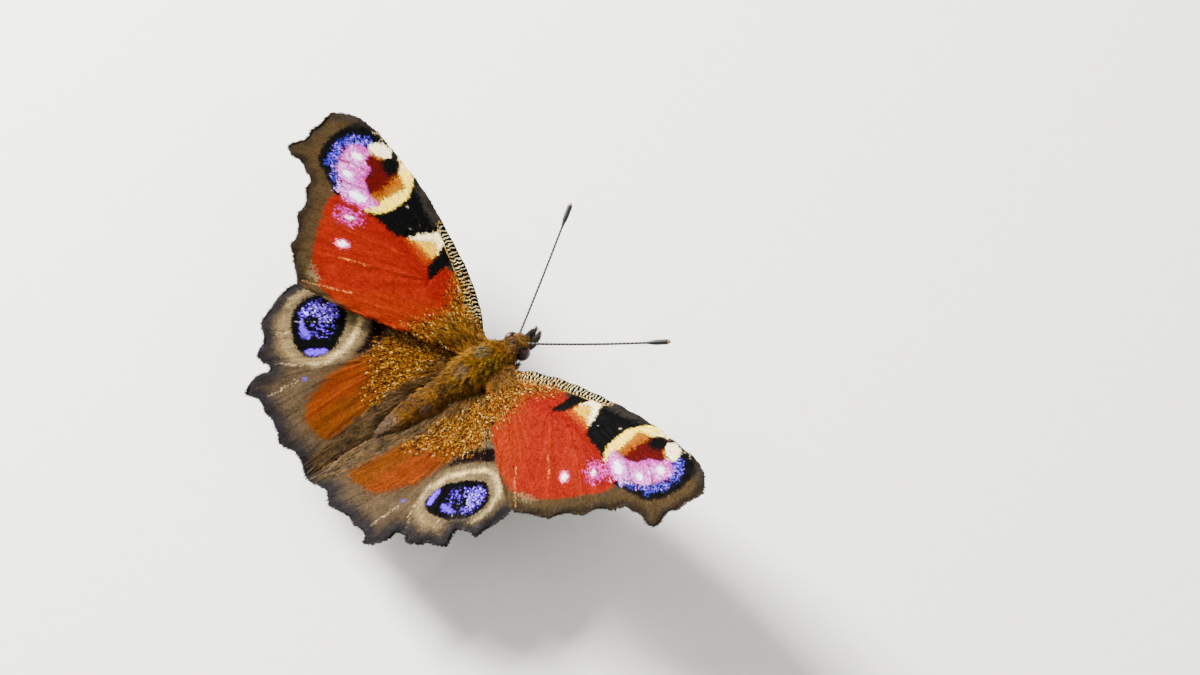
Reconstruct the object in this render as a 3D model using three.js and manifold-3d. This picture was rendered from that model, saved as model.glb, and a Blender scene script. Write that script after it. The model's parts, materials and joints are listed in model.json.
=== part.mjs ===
// Peacock butterfly (Aglais io), a still, life-size model that stands with its wings spread.
// Millimetres. +X is the animal's left, -Y is forward, +Z is up, and the feet stand on Z = 0.
import * as THREE from 'three';
import { mergeVertices } from 'three/addons/utils/BufferGeometryUtils.js';
import Module from 'manifold-3d';

const wasm = await Module();
wasm.setup();

// Overall sizes
const JOINT_GAP = 0.3;
const WING_THICKNESS = 0.5;
const BODY_AXIS_HEIGHT = 6.1;
const WING_HINGE_HEIGHT = 7.0;
const ROUND_SIDES = 24;

// Body profiles: distance behind the origin and radius, coat included
const THORAX = {
  profile: [[-2.4, 1.5], [-1.6, 1.95], [-0.4, 2.2], [1.2, 2.3], [2.8, 2.05], [4.2, 1.55]],
  flatness: 0.95,
  rings: 14,
};
const ABDOMEN = {
  profile: [[4.5, 1.48], [6.2, 1.65], [8.2, 1.58], [10.2, 1.32], [12.0, 0.88], [13.1, 0.48]],
  flatness: 0.95,
  tip: 13.5,
  tipRadius: 0.15,
  yaw: 1.5,
  segments: 7,
  grooveDepth: 0.09,
};
const HEAD = {
  centre: new THREE.Vector3(0, -3.85, 6.5),
  radii: new THREE.Vector3(1.45, 1.5, 1.4),
  neck: -2.7,
  rings: 12,
};
// Each eye is a dome with a flat inner face, set in a socket of the same form
const EYE = {
  centre: new THREE.Vector3(1.15, -3.95, 6.5),
  radii: new THREE.Vector3(0.75, 0.88, 0.93),
  innerFace: 0.95,
};
// Palps and feelers: each leaves the head from a root inside it
const PALP = {
  root: [0.4, -4.4, 5.9],
  bend: [0.55, -5.6, 6.0],
  tip: [0.36, -6.5, 6.95],
  radii: [0.3, 0.34, 0.16],
  steps: 6,
};
const PROBOSCIS = {
  root: [0, -4.3, 4.8],
  coilRadius: 0.62,
  coilGrowth: -0.12,
  coilDrop: 0.35,
  turns: 0.85,
  tubeRadius: 0.23,
  steps: 22,
};
const ANTENNA = {
  root: [0.6, -4.6, 7.15],
  length: 15.0,
  shaftRadius: 0.25,
  clubRadius: 0.34,
  clubLength: 2.3,
  tipRadius: 0.18,
  sag: 0.3,
  steps: 16,
};
const ANTENNA_AIM = { left: { azimuth: 33.8, elevation: 14.9 }, right: { azimuth: 39.4, elevation: 9.1 } };

// Legs: bends from the body outwards, on the left side
const TARSUS_RADIUS = 0.26;
const LEG_SIDES = 8;
const SHARPEST_MITRE = 0.5;
const TARSUS_HEIGHT = TARSUS_RADIUS * Math.cos(Math.PI / LEG_SIDES);
const LEGS = {
  foreleg: { start: [0.75, -1.0], bends: [[0.85, -2.5, 3.75], [0.8, -3.6, 4.5]], radii: [0.3, 0.28, 0.25] },
  midleg: {
    start: [1.05, 0.4],
    bends: [[1.75, 0.2, 3.35], [4.9, -0.7, 4.9], [6.5, -1.3, TARSUS_HEIGHT], [9.9, -2.6, TARSUS_HEIGHT]],
    radii: [0.36, 0.34, 0.3, 0.26, TARSUS_RADIUS],
  },
  hindleg: {
    start: [0.95, 2.5],
    bends: [[1.6, 2.9, 3.4], [4.3, 4.8, 5.0], [5.7, 6.2, TARSUS_HEIGHT], [8.1, 9.0, TARSUS_HEIGHT]],
    radii: [0.36, 0.34, 0.3, 0.26, TARSUS_RADIUS],
  },
};

// Wing plans in the plane of the wing, as span out from the hinge and distance forward of it.
// Rows run across the wing from the root (0) to the margin. A vein starts on the root edge, at its share
// of that edge, or leaves its parent at a row, or starts on the cross vein that closes the cell.
// From there it runs through its points to its tip. A bay is how deep the margin curves in before the tip.
// The wing bows up along its span, and folds down along its inner margin.
const WING_ROWS = 15;
const CELL_END_ROW = 8;
const CROSS_VEIN_HALF_WIDTH_ROWS = 0.16;
const RIDGE = {
  baseHeight: 0.16,
  tipHeight: 0.08,
  baseHalfWidth: 0.26,
  tipHalfWidth: 0.15,
  lowerFaceShare: 0.6,
};
const MEMBRANE_SPACING = 2.4;
const MARGIN_SPACING = 0.95;
const BAY_FADE_POWER = 6;
const LARGEST_FOOT_SHARE = 0.4;
const trunk = (name, root, through, tip, bay) => ({ name, root, through, tip, bay });
const branch = (name, parent, leaves, through, tip, bay) => ({ name, parent, leaves, through, tip, bay });
const cellVein = (name, cell, through, tip, bay) => ({ name, cell, through, tip, bay });
const FOREWING = {
  hinge: [2.2, -1.0, WING_HINGE_HEIGHT + 0.25],
  rootEdge: [-1.5, 0.75],
  bow: 0.2,
  bowSpan: 27,
  fold: { depth: 0, innerSpan: 0, width: 1 },
  costa: { through: [[0.3, 1.05], [1.8, 3.6], [4.3, 6.3], [7.1, 8.65], [11.0, 11.65]], tip: [14.9, 14.0] },
  veins: [
    trunk('subcosta', 0.18, [[0.4, 0.6], [4.1, 5.2], [8.8, 9.15]], [15.5, 14.3], 0),
    branch('radius_1', 'radius', 6, [[13.8, 12.0]], [17.4, 15.3], 0),
    branch('radius_2', 'radius', 7, [[15.8, 12.9]], [19.3, 16.15], -0.1),
    branch('radius_3', 'radius', 10, [[19.2, 14.6]], [21.5, 16.5], -0.1),
    branch('radius_4', 'radius', 12, [[22.2, 14.8]], [23.7, 15.8], -0.15),
    trunk('radius', 0.36, [[4.5, 4.4], [9.0, 7.8], [13.0, 10.5], [19.6, 13.5]], [25.0, 13.1], 0.05),
    cellVein('media_1', 0.2, [[19.7, 11.6]], [26.3, 10.8], 0.15),
    cellVein('media_2', 0.5, [[18.7, 9.6]], [23.9, 9.3], 0.2),
    trunk('cubitus', 0.55, [[4.5, 2.3], [8.5, 4.0], [12.2, 5.7], [17.6, 7.4]], [22.9, 7.3], 0.35),
    branch('cubitus_1', 'cubitus', 7, [[17.1, 4.9]], [22.4, 4.3], 0.4),
    branch('cubitus_2', 'cubitus', 5, [[14.0, 2.4]], [21.6, 0.9], 0.4),
    trunk('anal', 0.8, [[5.0, -0.7], [12.0, -1.3]], [19.7, -1.5], 0.2),
  ],
  inner: { through: [[4.5, -2.2], [9.0, -2.4], [14.5, -2.6]], tip: [18.8, -2.2], bay: 0 },
};
const HINDWING = {
  hinge: [2.0, 1.6, WING_HINGE_HEIGHT - 0.7],
  rootEdge: [0.9, 4.3],
  bow: 0.15,
  bowSpan: 17,
  fold: { depth: 0.45, innerSpan: -2, width: 3.5 },
  costa: { through: [[4.0, 0.5], [8.0, -1.7], [11.5, -3.9]], tip: [13.6, -5.5] },
  veins: [
    trunk('subcosta', 0.15, [[4.0, -0.2], [9.0, -3.1]], [14.1, -6.0], 0),
    trunk('radius', 0.32, [[3.6, -1.9], [7.8, -5.0], [12.0, -8.0]], [15.9, -10.4], -0.35),
    cellVein('media_1', 0.3, [[11.3, -10.2]], [14.4, -14.4], 0.15),
    cellVein('media_2', 0.65, [[9.8, -12.2]], [12.0, -16.7], 0.3),
    trunk('cubitus', 0.5, [[2.8, -4.4], [5.6, -8.8], [7.7, -13.8]], [9.4, -19.9], 1.0),
    branch('cubitus_1', 'cubitus', 6, [[5.9, -13.2]], [6.3, -19.6], 0.15),
    branch('cubitus_2', 'cubitus', 4, [[3.8, -12.0]], [3.2, -20.3], 0.2),
    trunk('anal', 0.75, [[1.3, -7.5], [1.1, -13.0]], [0.2, -19.6], 0.2),
  ],
  tornus: { x: 0.4, y: 21.2, bay: 0.15 },
};
const WING_POSE = {
  forewing_left: { dihedral: 14.9, sweep: -33, twist: 2.1 },
  forewing_right: { dihedral: 18.9, sweep: -23, twist: 0.8 },
  hindwing_left: { dihedral: 10.5, sweep: -1.5, twist: 0.1 },
  hindwing_right: { dihedral: 11.2, sweep: 1.5, twist: -1.3 },
};

const COLOURS = {
  body: 0x6b4a24,
  eye: 0x2b1712,
  limb: 0x2e241b,
  antenna: 0x35302a,
  forewing: 0xb5320f,
  hindwing: 0x6f5a40,
};

const radians = THREE.MathUtils.degToRad;
const vector = (values) => new THREE.Vector3(...values);
const planePoint = (pair) => new THREE.Vector2(...pair);

function material(colour, roughness) {
  return new THREE.MeshStandardMaterial({ color: colour, roughness, metalness: 0 });
}

// Bare positions with shared vertices merged
function merged(geometry) {
  const bare = geometry.clone();
  for (const name of Object.keys(bare.attributes)) {
    if (name !== 'position') {
      bare.deleteAttribute(name);
    }
  }
  return mergeVertices(bare, 1e-4);
}

function subtract(geometry, tool) {
  const solids = [geometry, tool].map((piece) => {
    const shared = merged(piece);
    return new wasm.Manifold(new wasm.Mesh({
      numProp: 3,
      vertProperties: new Float32Array(shared.attributes.position.array),
      triVerts: new Uint32Array(shared.index.array),
    }));
  });
  const mesh = solids[0].subtract(solids[1]).getMesh();
  const cut = new THREE.BufferGeometry();
  cut.setAttribute('position', new THREE.BufferAttribute(mesh.vertProperties, 3));
  cut.setIndex(new THREE.BufferAttribute(mesh.triVerts, 1));
  return cut;
}

// Mirrors a left-hand geometry to the right side, keeping its faces outwards
function mirrored(geometry) {
  const right = geometry.index ? geometry.toNonIndexed() : geometry.clone();
  right.scale(-1, 1, 1);
  const position = right.attributes.position;
  for (let corner = 0; corner < position.count; corner += 3) {
    const second = new THREE.Vector3().fromBufferAttribute(position, corner + 1);
    const third = new THREE.Vector3().fromBufferAttribute(position, corner + 2);
    position.setXYZ(corner + 1, ...third);
    position.setXYZ(corner + 2, ...second);
  }
  return right;
}

// Smooth radius at a distance along a body profile
function radiusAt(profile, distance) {
  const last = profile.length - 1;
  let piece = 0;
  while (piece < last - 1 && distance > profile[piece + 1][0]) {
    piece += 1;
  }
  const near = (step) => profile[THREE.MathUtils.clamp(piece + step, 0, last)];
  const [before, start, end, after] = [-1, 0, 1, 2].map(near);
  const span = end[0] - start[0];
  const t = THREE.MathUtils.clamp((distance - start[0]) / span, 0, 1);
  const slopeIn = ((end[1] - before[1]) / (end[0] - before[0])) * span;
  const slopeOut = ((after[1] - start[1]) / (after[0] - start[0])) * span;
  return start[1] * (2 * t ** 3 - 3 * t ** 2 + 1) + slopeIn * (t ** 3 - 2 * t ** 2 + t)
    + end[1] * (3 * t ** 2 - 2 * t ** 3) + slopeOut * (t ** 3 - t ** 2);
}

// Turned solid about the body axis, flattened a little from above
function turnedBody(rings, flatness) {
  const first = rings[0];
  const last = rings[rings.length - 1];
  const outline = [[0, first[0]], ...rings.map(([distance, radius]) => [radius, distance]), [0, last[0]]];
  const geometry = new THREE.LatheGeometry(outline.map(planePoint), ROUND_SIDES);
  geometry.scale(1, 1, flatness);
  geometry.translate(0, 0, BODY_AXIS_HEIGHT);
  return geometry;
}

function thoraxGeometry() {
  const { profile, flatness, rings } = THORAX;
  const front = profile[0][0];
  const length = profile[profile.length - 1][0] - front;
  const stations = Array.from({ length: rings + 1 }, (_, ring) => front + (length * ring) / rings);
  return turnedBody(stations.map((distance) => [distance, radiusAt(profile, distance)]), flatness);
}

// Each abdomen ring swells towards its hind edge and ends in a shallow groove
function abdomenGeometry() {
  const { profile, flatness, tip, tipRadius, yaw, segments, grooveDepth } = ABDOMEN;
  const front = profile[0][0];
  const end = profile[profile.length - 1][0];
  const segmentLength = (end - front) / segments;
  const rings = [[front, profile[0][1]]];
  for (let segment = 0; segment < segments; segment += 1) {
    const start = front + segment * segmentLength;
    for (const [part, sink] of [[0.3, 0.2], [0.85, 0], [1, 1]]) {
      const distance = start + part * segmentLength;
      rings.push([distance, radiusAt(profile, distance) - sink * grooveDepth]);
    }
  }
  rings.push([tip, tipRadius]);
  const geometry = turnedBody(rings, flatness);
  geometry.translate(0, -front, 0);
  geometry.rotateZ(radians(yaw));
  geometry.translate(0, front, 0);
  return geometry;
}

// Left eye, or its socket when it is grown by the joint gap all round
function eyeGeometry(growth) {
  const geometry = new THREE.SphereGeometry(1, 20, 14);
  geometry.scale(...EYE.radii.clone().addScalar(growth));
  geometry.translate(...EYE.centre);
  const position = geometry.attributes.position;
  for (let corner = 0; corner < position.count; corner += 1) {
    position.setX(corner, Math.max(position.getX(corner), EYE.innerFace - growth));
  }
  return geometry;
}

// Round head with a flat neck face and two eye sockets
function headGeometry() {
  const { centre, radii, neck, rings } = HEAD;
  const front = centre.y - radii.y;
  const outline = [new THREE.Vector2(0, front)];
  const neckAngle = Math.acos((centre.y - neck) / radii.y);
  for (let ring = 1; ring <= rings; ring += 1) {
    const angle = (neckAngle * ring) / rings;
    outline.push(new THREE.Vector2(Math.sin(angle), centre.y - radii.y * Math.cos(angle)));
  }
  outline.push(new THREE.Vector2(0, neck));
  let head = new THREE.LatheGeometry(outline, ROUND_SIDES);
  head.scale(radii.x, 1, radii.z);
  head.translate(0, 0, centre.z);
  const socket = eyeGeometry(JOINT_GAP);
  head = subtract(head, socket);
  return subtract(head, mirrored(socket));
}

// Limb of round or flat-sided section along a bent path, with mitred bends and closed ends
function limb(path, radii, sides) {
  const overall = path[path.length - 1].clone().sub(path[0]);
  const across = new THREE.Vector3(-overall.y, overall.x, 0).normalize();
  if (across.lengthSq() < 0.5) {
    across.set(1, 0, 0);
  }
  const points = [];
  path.forEach((point, index) => {
    const before = path[Math.max(index - 1, 0)];
    const after = path[Math.min(index + 1, path.length - 1)];
    const incoming = point.clone().sub(before).normalize();
    const outgoing = after.clone().sub(point).normalize();
    const along = incoming.clone().add(outgoing).normalize();
    const stretch = 1 / Math.max(along.dot(index > 0 ? incoming : outgoing), SHARPEST_MITRE);
    const side = across.clone().addScaledVector(along, -across.dot(along)).normalize();
    const up = new THREE.Vector3().crossVectors(along, side);
    for (let corner = 0; corner < sides; corner += 1) {
      const angle = ((corner + 0.5) / sides) * 2 * Math.PI;
      const place = point.clone()
        .addScaledVector(side, radii[index] * Math.cos(angle))
        .addScaledVector(up, radii[index] * Math.sin(angle) * stretch);
      place.z = Math.max(place.z, 0);
      points.push(place);
    }
  });
  return closedLoft(points, sides, path[0], path[path.length - 1]);
}

// Rings of equal count joined into one closed skin, with a fan over each end
function closedLoft(points, sides, startCentre, endCentre) {
  const rings = points.length / sides;
  const corners = [...points, startCentre, endCentre];
  const index = [];
  for (let ring = 0; ring < rings - 1; ring += 1) {
    for (let corner = 0; corner < sides; corner += 1) {
      const next = (corner + 1) % sides;
      const [a, b] = [ring * sides + corner, ring * sides + next];
      index.push(a, b, b + sides, a, b + sides, a + sides);
    }
  }
  const lastRing = (rings - 1) * sides;
  for (let corner = 0; corner < sides; corner += 1) {
    const next = (corner + 1) % sides;
    index.push(points.length, next, corner);
    index.push(points.length + 1, lastRing + corner, lastRing + next);
  }
  const geometry = new THREE.BufferGeometry().setFromPoints(corners);
  geometry.setIndex(index);
  return geometry;
}

// Distance from a root inside the head to the joint gap outside its skin
function headReach(root, direction) {
  const grown = HEAD.radii.clone().addScalar(JOINT_GAP);
  const start = root.clone().sub(HEAD.centre).divide(grown);
  const step = direction.clone().divide(grown);
  const [a, b, c] = [step.lengthSq(), start.dot(step), start.lengthSq() - 1];
  return (Math.sqrt(b * b - a * c) - b) / a;
}

function palpGeometry() {
  const { steps } = PALP;
  const [inside, bend, tip] = [PALP.root, PALP.bend, PALP.tip].map(vector);
  const direction = bend.clone().sub(inside).normalize();
  const root = inside.clone().addScaledVector(direction, headReach(inside, direction));
  const path = new THREE.QuadraticBezierCurve3(root, bend, tip).getPoints(steps);
  const [thick, middle, slim] = PALP.radii;
  const radii = path.map((_, step) => {
    const t = step / steps;
    return thick * (1 - t) ** 2 + 2 * middle * t * (1 - t) + slim * t ** 2;
  });
  return limb(path, radii, 10);
}

// Coiled tongue under the head
function proboscisGeometry() {
  const { root, coilRadius, coilGrowth, coilDrop, turns, tubeRadius, steps } = PROBOSCIS;
  const centre = vector(root).add(new THREE.Vector3(0, -coilRadius, -coilDrop));
  const path = [vector(root)];
  for (let step = 0; step <= steps; step += 1) {
    const angle = (step / steps) * turns * 2 * Math.PI;
    const radius = coilRadius + (coilGrowth * step) / steps;
    path.push(centre.clone().add(new THREE.Vector3(0, Math.cos(angle) * radius, -Math.sin(angle) * radius)));
  }
  return limb(path, path.map(() => tubeRadius), 8);
}

// Slender feeler that sags a little and ends in a club
function antennaGeometry(aim) {
  const { length, shaftRadius, clubRadius, clubLength, tipRadius, sag, steps } = ANTENNA;
  const [azimuth, elevation] = [radians(aim.azimuth), radians(aim.elevation)];
  const direction = new THREE.Vector3(
    Math.sin(azimuth) * Math.cos(elevation),
    -Math.cos(azimuth) * Math.cos(elevation),
    Math.sin(elevation),
  );
  const inside = vector(ANTENNA.root);
  const hidden = headReach(inside, direction) / length;
  const clubStart = 1 - clubLength / length;
  const path = [];
  const radii = [];
  for (let step = 0; step <= steps; step += 1) {
    const t = hidden + ((1 - hidden) * step) / steps;
    const bend = new THREE.Vector3(0, 0, -4 * sag * t * (1 - t));
    path.push(inside.clone().addScaledVector(direction, length * t).add(bend));
    const swell = THREE.MathUtils.smoothstep(t, clubStart, (1 + clubStart) / 2);
    radii.push(THREE.MathUtils.lerp(shaftRadius, clubRadius, swell));
  }
  radii[steps] = tipRadius;
  return limb(path, radii, 10);
}

// Leg that starts the joint gap below the thorax
function legGeometry({ start, bends, radii }) {
  const [x, y] = start;
  const belly = radiusAt(THORAX.profile, y);
  const drop = THORAX.flatness * Math.sqrt(belly ** 2 - x ** 2);
  const socket = new THREE.Vector3(x, y, BODY_AXIS_HEIGHT - drop - JOINT_GAP);
  return limb([socket, ...bends.map(vector)], radii, LEG_SIDES);
}

// Axes of a left-hand wing plane from its pose: span, forward and up
function wingAxes({ dihedral, sweep, twist }) {
  const turn = new THREE.Matrix4().makeRotationY(radians(-dihedral))
    .multiply(new THREE.Matrix4().makeRotationX(radians(-twist)))
    .multiply(new THREE.Matrix4().makeRotationZ(radians(-sweep)));
  const span = new THREE.Vector3(1, 0, 0).applyMatrix4(turn);
  const forward = new THREE.Vector3(0, -1, 0).applyMatrix4(turn);
  const up = new THREE.Vector3(0, 0, 1).applyMatrix4(turn);
  return { span, forward, up };
}

// Wing-plane position of the point of the wing that lies over a place on the floor plan
function onWing(hinge, axes, x, y) {
  const [dx, dy] = [x - hinge[0], y - hinge[1]];
  const scale = axes.span.x * axes.forward.y - axes.span.y * axes.forward.x;
  return [(dx * axes.forward.y - dy * axes.forward.x) / scale, (dy * axes.span.x - dx * axes.span.y) / scale];
}

// Root edge of a wing, the joint gap off the flank of the thorax, by its share from front to back
function rootEdge(wing, axes) {
  const [front, back] = wing.rootEdge;
  const lowerFace = wing.hinge[2] - WING_THICKNESS - BODY_AXIS_HEIGHT;
  const lift = Math.max(lowerFace, 0) / THORAX.flatness;
  return (share) => {
    const y = front + (back - front) * share;
    const flank = Math.sqrt(radiusAt(THORAX.profile, y) ** 2 - lift ** 2);
    return onWing(wing.hinge, axes, flank + JOINT_GAP, y);
  };
}

// Inner margin of a hindwing: the joint gap beside the abdomen, then close to its neighbour
function besideAbdomen(wing, axes, side) {
  const { profile, yaw, tip } = ABDOMEN;
  const places = [5.5, 8, 10.5, 12.5].map((y) => [radiusAt(profile, y) + JOINT_GAP, y]);
  places.push([0.6, tip + 1], [0.4, tip + 4], [wing.tornus.x, wing.tornus.y]);
  const lean = Math.sin(radians(yaw) * side);
  const points = places.map(([x, y]) => onWing(wing.hinge, axes, x - (y - profile[0][0]) * lean, y));
  return { through: points.slice(0, -1), tip: points.at(-1), bay: wing.tornus.bay };
}

// Lines of a wing from the leading edge to the inner margin: each has a curve and the row that it leaves from
function wingLines(wing, axes, side) {
  const root = rootEdge(wing, axes);
  const curve = (start, line) => new THREE.SplineCurve([start, ...line.through, line.tip].map(planePoint));
  const inner = wing.inner ?? besideAbdomen(wing, axes, side);
  const trunks = new Map();
  for (const vein of wing.veins) {
    if (vein.root !== undefined) {
      trunks.set(vein.name, curve(root(vein.root), vein));
    }
  }
  const cellEnds = ['radius', 'cubitus'].map((name) => trunks.get(name).getPointAt(CELL_END_ROW / WING_ROWS));
  const veins = wing.veins.map((vein) => {
    if (vein.root !== undefined) {
      return { ...vein, leaves: 0, curve: trunks.get(vein.name) };
    }
    if (vein.parent !== undefined) {
      const fork = trunks.get(vein.parent).getPointAt(vein.leaves / WING_ROWS);
      return { ...vein, curve: curve([fork.x, fork.y], vein) };
    }
    const start = cellEnds[0].clone().lerp(cellEnds[1], vein.cell);
    return { ...vein, leaves: CELL_END_ROW, curve: curve([start.x, start.y], vein) };
  });
  return [
    { name: 'costa', leaves: 0, bay: 0, curve: curve(root(0), wing.costa) },
    ...veins,
    { name: 'inner', leaves: 0, bay: inner.bay, flat: true, curve: curve(root(1), inner) },
  ];
}

// Point between two neighbouring veins, bowed towards the root
function between(from, to, share, bow) {
  const along = to.clone().sub(from);
  const inwards = new THREE.Vector2(along.y, -along.x).normalize();
  return from.clone().addScaledVector(along, share).addScaledVector(inwards, bow * Math.sin(Math.PI * share));
}

// One row of points across a wing: a crest with a foot on each side for each vein, and membrane between
function wingRow(lines, row) {
  const out = row / WING_ROWS;
  const present = lines.filter((line) => line.leaves === 0 || row > line.leaves);
  const crestOf = ({ curve, leaves }) => curve.getPointAt((row - leaves) / (WING_ROWS - leaves));
  const crests = present.map(crestOf);
  const halfWidth = THREE.MathUtils.lerp(RIDGE.baseHalfWidth, RIDGE.tipHalfWidth, out);
  const height = THREE.MathUtils.lerp(RIDGE.baseHeight, RIDGE.tipHeight, out);
  const spacing = row === WING_ROWS ? MARGIN_SPACING : MEMBRANE_SPACING;
  const points = [];
  present.forEach((line, index) => {
    points.push({ label: line.name, place: crests[index], height: line.flat ? 0 : height });
    if (index === present.length - 1) {
      return;
    }
    const next = present[index + 1];
    const distance = crests[index].distanceTo(crests[index + 1]);
    const foot = Math.min(halfWidth / distance, LARGEST_FOOT_SHARE);
    const bow = next.bay * out ** BAY_FADE_POWER;
    const crossVein = row === CELL_END_ROW && line.name === 'radius';
    const pieces = Math.max(Math.round((distance * (1 - 2 * foot)) / spacing), 1);
    for (let piece = 0; piece <= pieces; piece += 1) {
      const share = foot + ((1 - 2 * foot) * piece) / pieces;
      points.push({
        label: null,
        place: between(crests[index], crests[index + 1], share, bow),
        height: crossVein ? height : 0,
      });
    }
    points.at(-1).label = `${next.name}_before`;
    points.at(-1 - pieces).label = `${line.name}_after`;
  });
  return points;
}

// Triangles between two rows, joined label to label and by the shorter diagonal in between
function joinRows(near, far) {
  const distance = (a, b) => a.place.distanceTo(b.place);
  const shared = near.filter((point) => point.label && far.some((other) => other.label === point.label));
  const triangles = [];
  let [i, j] = [0, 0];
  for (const { label } of shared) {
    const [endNear, endFar] = [near, far].map((row) => row.findIndex((point) => point.label === label));
    while (i < endNear || j < endFar) {
      const nearIsShorter = () => distance(near[i + 1], far[j]) < distance(near[i], far[j + 1]);
      const stepNear = j === endFar || (i < endNear && nearIsShorter());
      triangles.push(stepNear ? [near[i], far[j], near[i + 1]] : [near[i], far[j], far[j + 1]]);
      i += stepNear ? 1 : 0;
      j += stepNear ? 0 : 1;
    }
  }
  return triangles;
}

// Both faces of a wing from one set of triangles, closed round the edge and set at its hinge
function wingGeometry(wing, pose, side) {
  const axes = wingAxes(pose);
  const lines = wingLines(wing, axes, side);
  const numbers = Array.from({ length: WING_ROWS + 1 }, (_, row) => row);
  numbers.push(CELL_END_ROW - CROSS_VEIN_HALF_WIDTH_ROWS, CELL_END_ROW + CROSS_VEIN_HALF_WIDTH_ROWS);
  const rows = numbers.sort((a, b) => a - b).map((row) => wingRow(lines, row));
  const points = rows.flat();
  const positions = [];
  for (const [face, ridgeShare] of [[1, 1], [-1, RIDGE.lowerFaceShare]]) {
    points.forEach((point, number) => {
      point.number = number;
      const { x: span, y: forward } = point.place;
      const bowed = wing.bow * Math.sin(Math.PI * THREE.MathUtils.clamp(span / wing.bowSpan, 0, 1));
      const folded = wing.fold.depth * Math.max(1 - (span - wing.fold.innerSpan) / wing.fold.width, 0) ** 2;
      const height = bowed - folded + face * (WING_THICKNESS / 2 + point.height * ridgeShare);
      positions.push(vector(wing.hinge)
        .addScaledVector(axes.span, span)
        .addScaledVector(axes.forward, forward)
        .addScaledVector(axes.up, height));
    });
  }
  const lower = points.length;
  const index = [];
  for (let row = 1; row < rows.length; row += 1) {
    for (const [a, b, c] of joinRows(rows[row - 1], rows[row])) {
      index.push(a.number, b.number, c.number);
      index.push(a.number + lower, c.number + lower, b.number + lower);
    }
  }
  const middleRows = rows.slice(1, -1);
  const edge = [
    ...rows[0],
    ...middleRows.map((row) => row.at(-1)),
    ...rows.at(-1).toReversed(),
    ...middleRows.toReversed().map((row) => row[0]),
  ].map((point) => point.number);
  edge.forEach((from, place) => {
    const to = edge[(place + 1) % edge.length];
    index.push(from, to, to + lower, from, to + lower, from + lower);
  });
  const geometry = new THREE.BufferGeometry().setFromPoints(positions);
  geometry.setIndex(index);
  return geometry;
}

const butterfly = new THREE.Group();

function add(name, geometry, finish) {
  const mesh = new THREE.Mesh(geometry, finish);
  mesh.name = name;
  butterfly.add(mesh);
}

add('thorax', thoraxGeometry(), material(COLOURS.body, 0.9));
add('abdomen', abdomenGeometry(), material(COLOURS.body, 0.9));
add('head', headGeometry(), material(COLOURS.body, 0.9));
add('proboscis', proboscisGeometry(), material(COLOURS.limb, 0.5));

for (const side of [1, -1]) {
  const hand = side > 0 ? 'left' : 'right';
  const place = (geometry) => (side > 0 ? geometry : mirrored(geometry));
  add(`eye_${hand}`, place(eyeGeometry(0)), material(COLOURS.eye, 0.25));
  add(`palp_${hand}`, place(palpGeometry()), material(COLOURS.limb, 0.8));
  add(`antenna_${hand}`, place(antennaGeometry(ANTENNA_AIM[hand])), material(COLOURS.antenna, 0.6));
  for (const [name, leg] of Object.entries(LEGS)) {
    add(`${name}_${hand}`, place(legGeometry(leg)), material(COLOURS.limb, 0.7));
  }
  const forewing = wingGeometry(FOREWING, WING_POSE[`forewing_${hand}`], side);
  add(`forewing_${hand}`, place(forewing), material(COLOURS.forewing, 0.8));
  const hindwing = wingGeometry(HINDWING, WING_POSE[`hindwing_${hand}`], side);
  add(`hindwing_${hand}`, place(hindwing), material(COLOURS.hindwing, 0.8));
}

// The origin lies on the floor under the middle of the whole animal
const box = new THREE.Box3().setFromObject(butterfly);
const middle = box.getCenter(new THREE.Vector3());
butterfly.position.set(-middle.x, -middle.y, -box.min.z);

export default butterfly;
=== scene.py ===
"""A life-size peacock butterfly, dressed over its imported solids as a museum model.

Inside the classes every length is in millimetres in the animal's own frame: +X is its left,
-Y is forward, +Z is up, and the feet stand on Z = 0. Places on a wing are (span, forward) in
the plane of that wing, out from its hinge. A finished mesh is turned to metres and set on the
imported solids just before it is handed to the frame.
"""

import json
import logging
import math
from collections.abc import Iterable, Sequence
from dataclasses import dataclass, replace
from enum import Enum
from typing import Any, Protocol

import bmesh
import bpy
import numpy as np
from mathutils import Matrix, Vector
from mathutils.geometry import delaunay_2d_cdt

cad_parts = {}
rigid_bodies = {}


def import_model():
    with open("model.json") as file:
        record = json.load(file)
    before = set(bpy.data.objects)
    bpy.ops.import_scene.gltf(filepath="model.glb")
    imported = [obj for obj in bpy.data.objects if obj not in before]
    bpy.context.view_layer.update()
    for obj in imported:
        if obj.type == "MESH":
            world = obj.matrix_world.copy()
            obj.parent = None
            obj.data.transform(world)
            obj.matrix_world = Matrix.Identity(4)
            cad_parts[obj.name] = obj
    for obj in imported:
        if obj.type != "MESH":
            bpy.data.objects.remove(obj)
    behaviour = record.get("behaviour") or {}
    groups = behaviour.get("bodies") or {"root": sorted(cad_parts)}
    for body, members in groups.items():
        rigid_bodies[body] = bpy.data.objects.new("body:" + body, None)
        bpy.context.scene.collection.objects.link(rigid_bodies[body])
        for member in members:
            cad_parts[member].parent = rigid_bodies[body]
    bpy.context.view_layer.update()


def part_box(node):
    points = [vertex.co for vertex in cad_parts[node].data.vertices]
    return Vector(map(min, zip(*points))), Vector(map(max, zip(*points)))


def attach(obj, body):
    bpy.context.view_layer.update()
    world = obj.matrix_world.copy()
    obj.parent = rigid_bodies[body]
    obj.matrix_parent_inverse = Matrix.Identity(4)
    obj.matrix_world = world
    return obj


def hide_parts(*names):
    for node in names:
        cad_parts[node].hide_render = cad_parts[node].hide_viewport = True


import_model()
THORAX_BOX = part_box("thorax")

log = logging.getLogger("peacock_butterfly")

MM = 0.001
# The least length that is divided by
TINY = 1e-6
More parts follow.
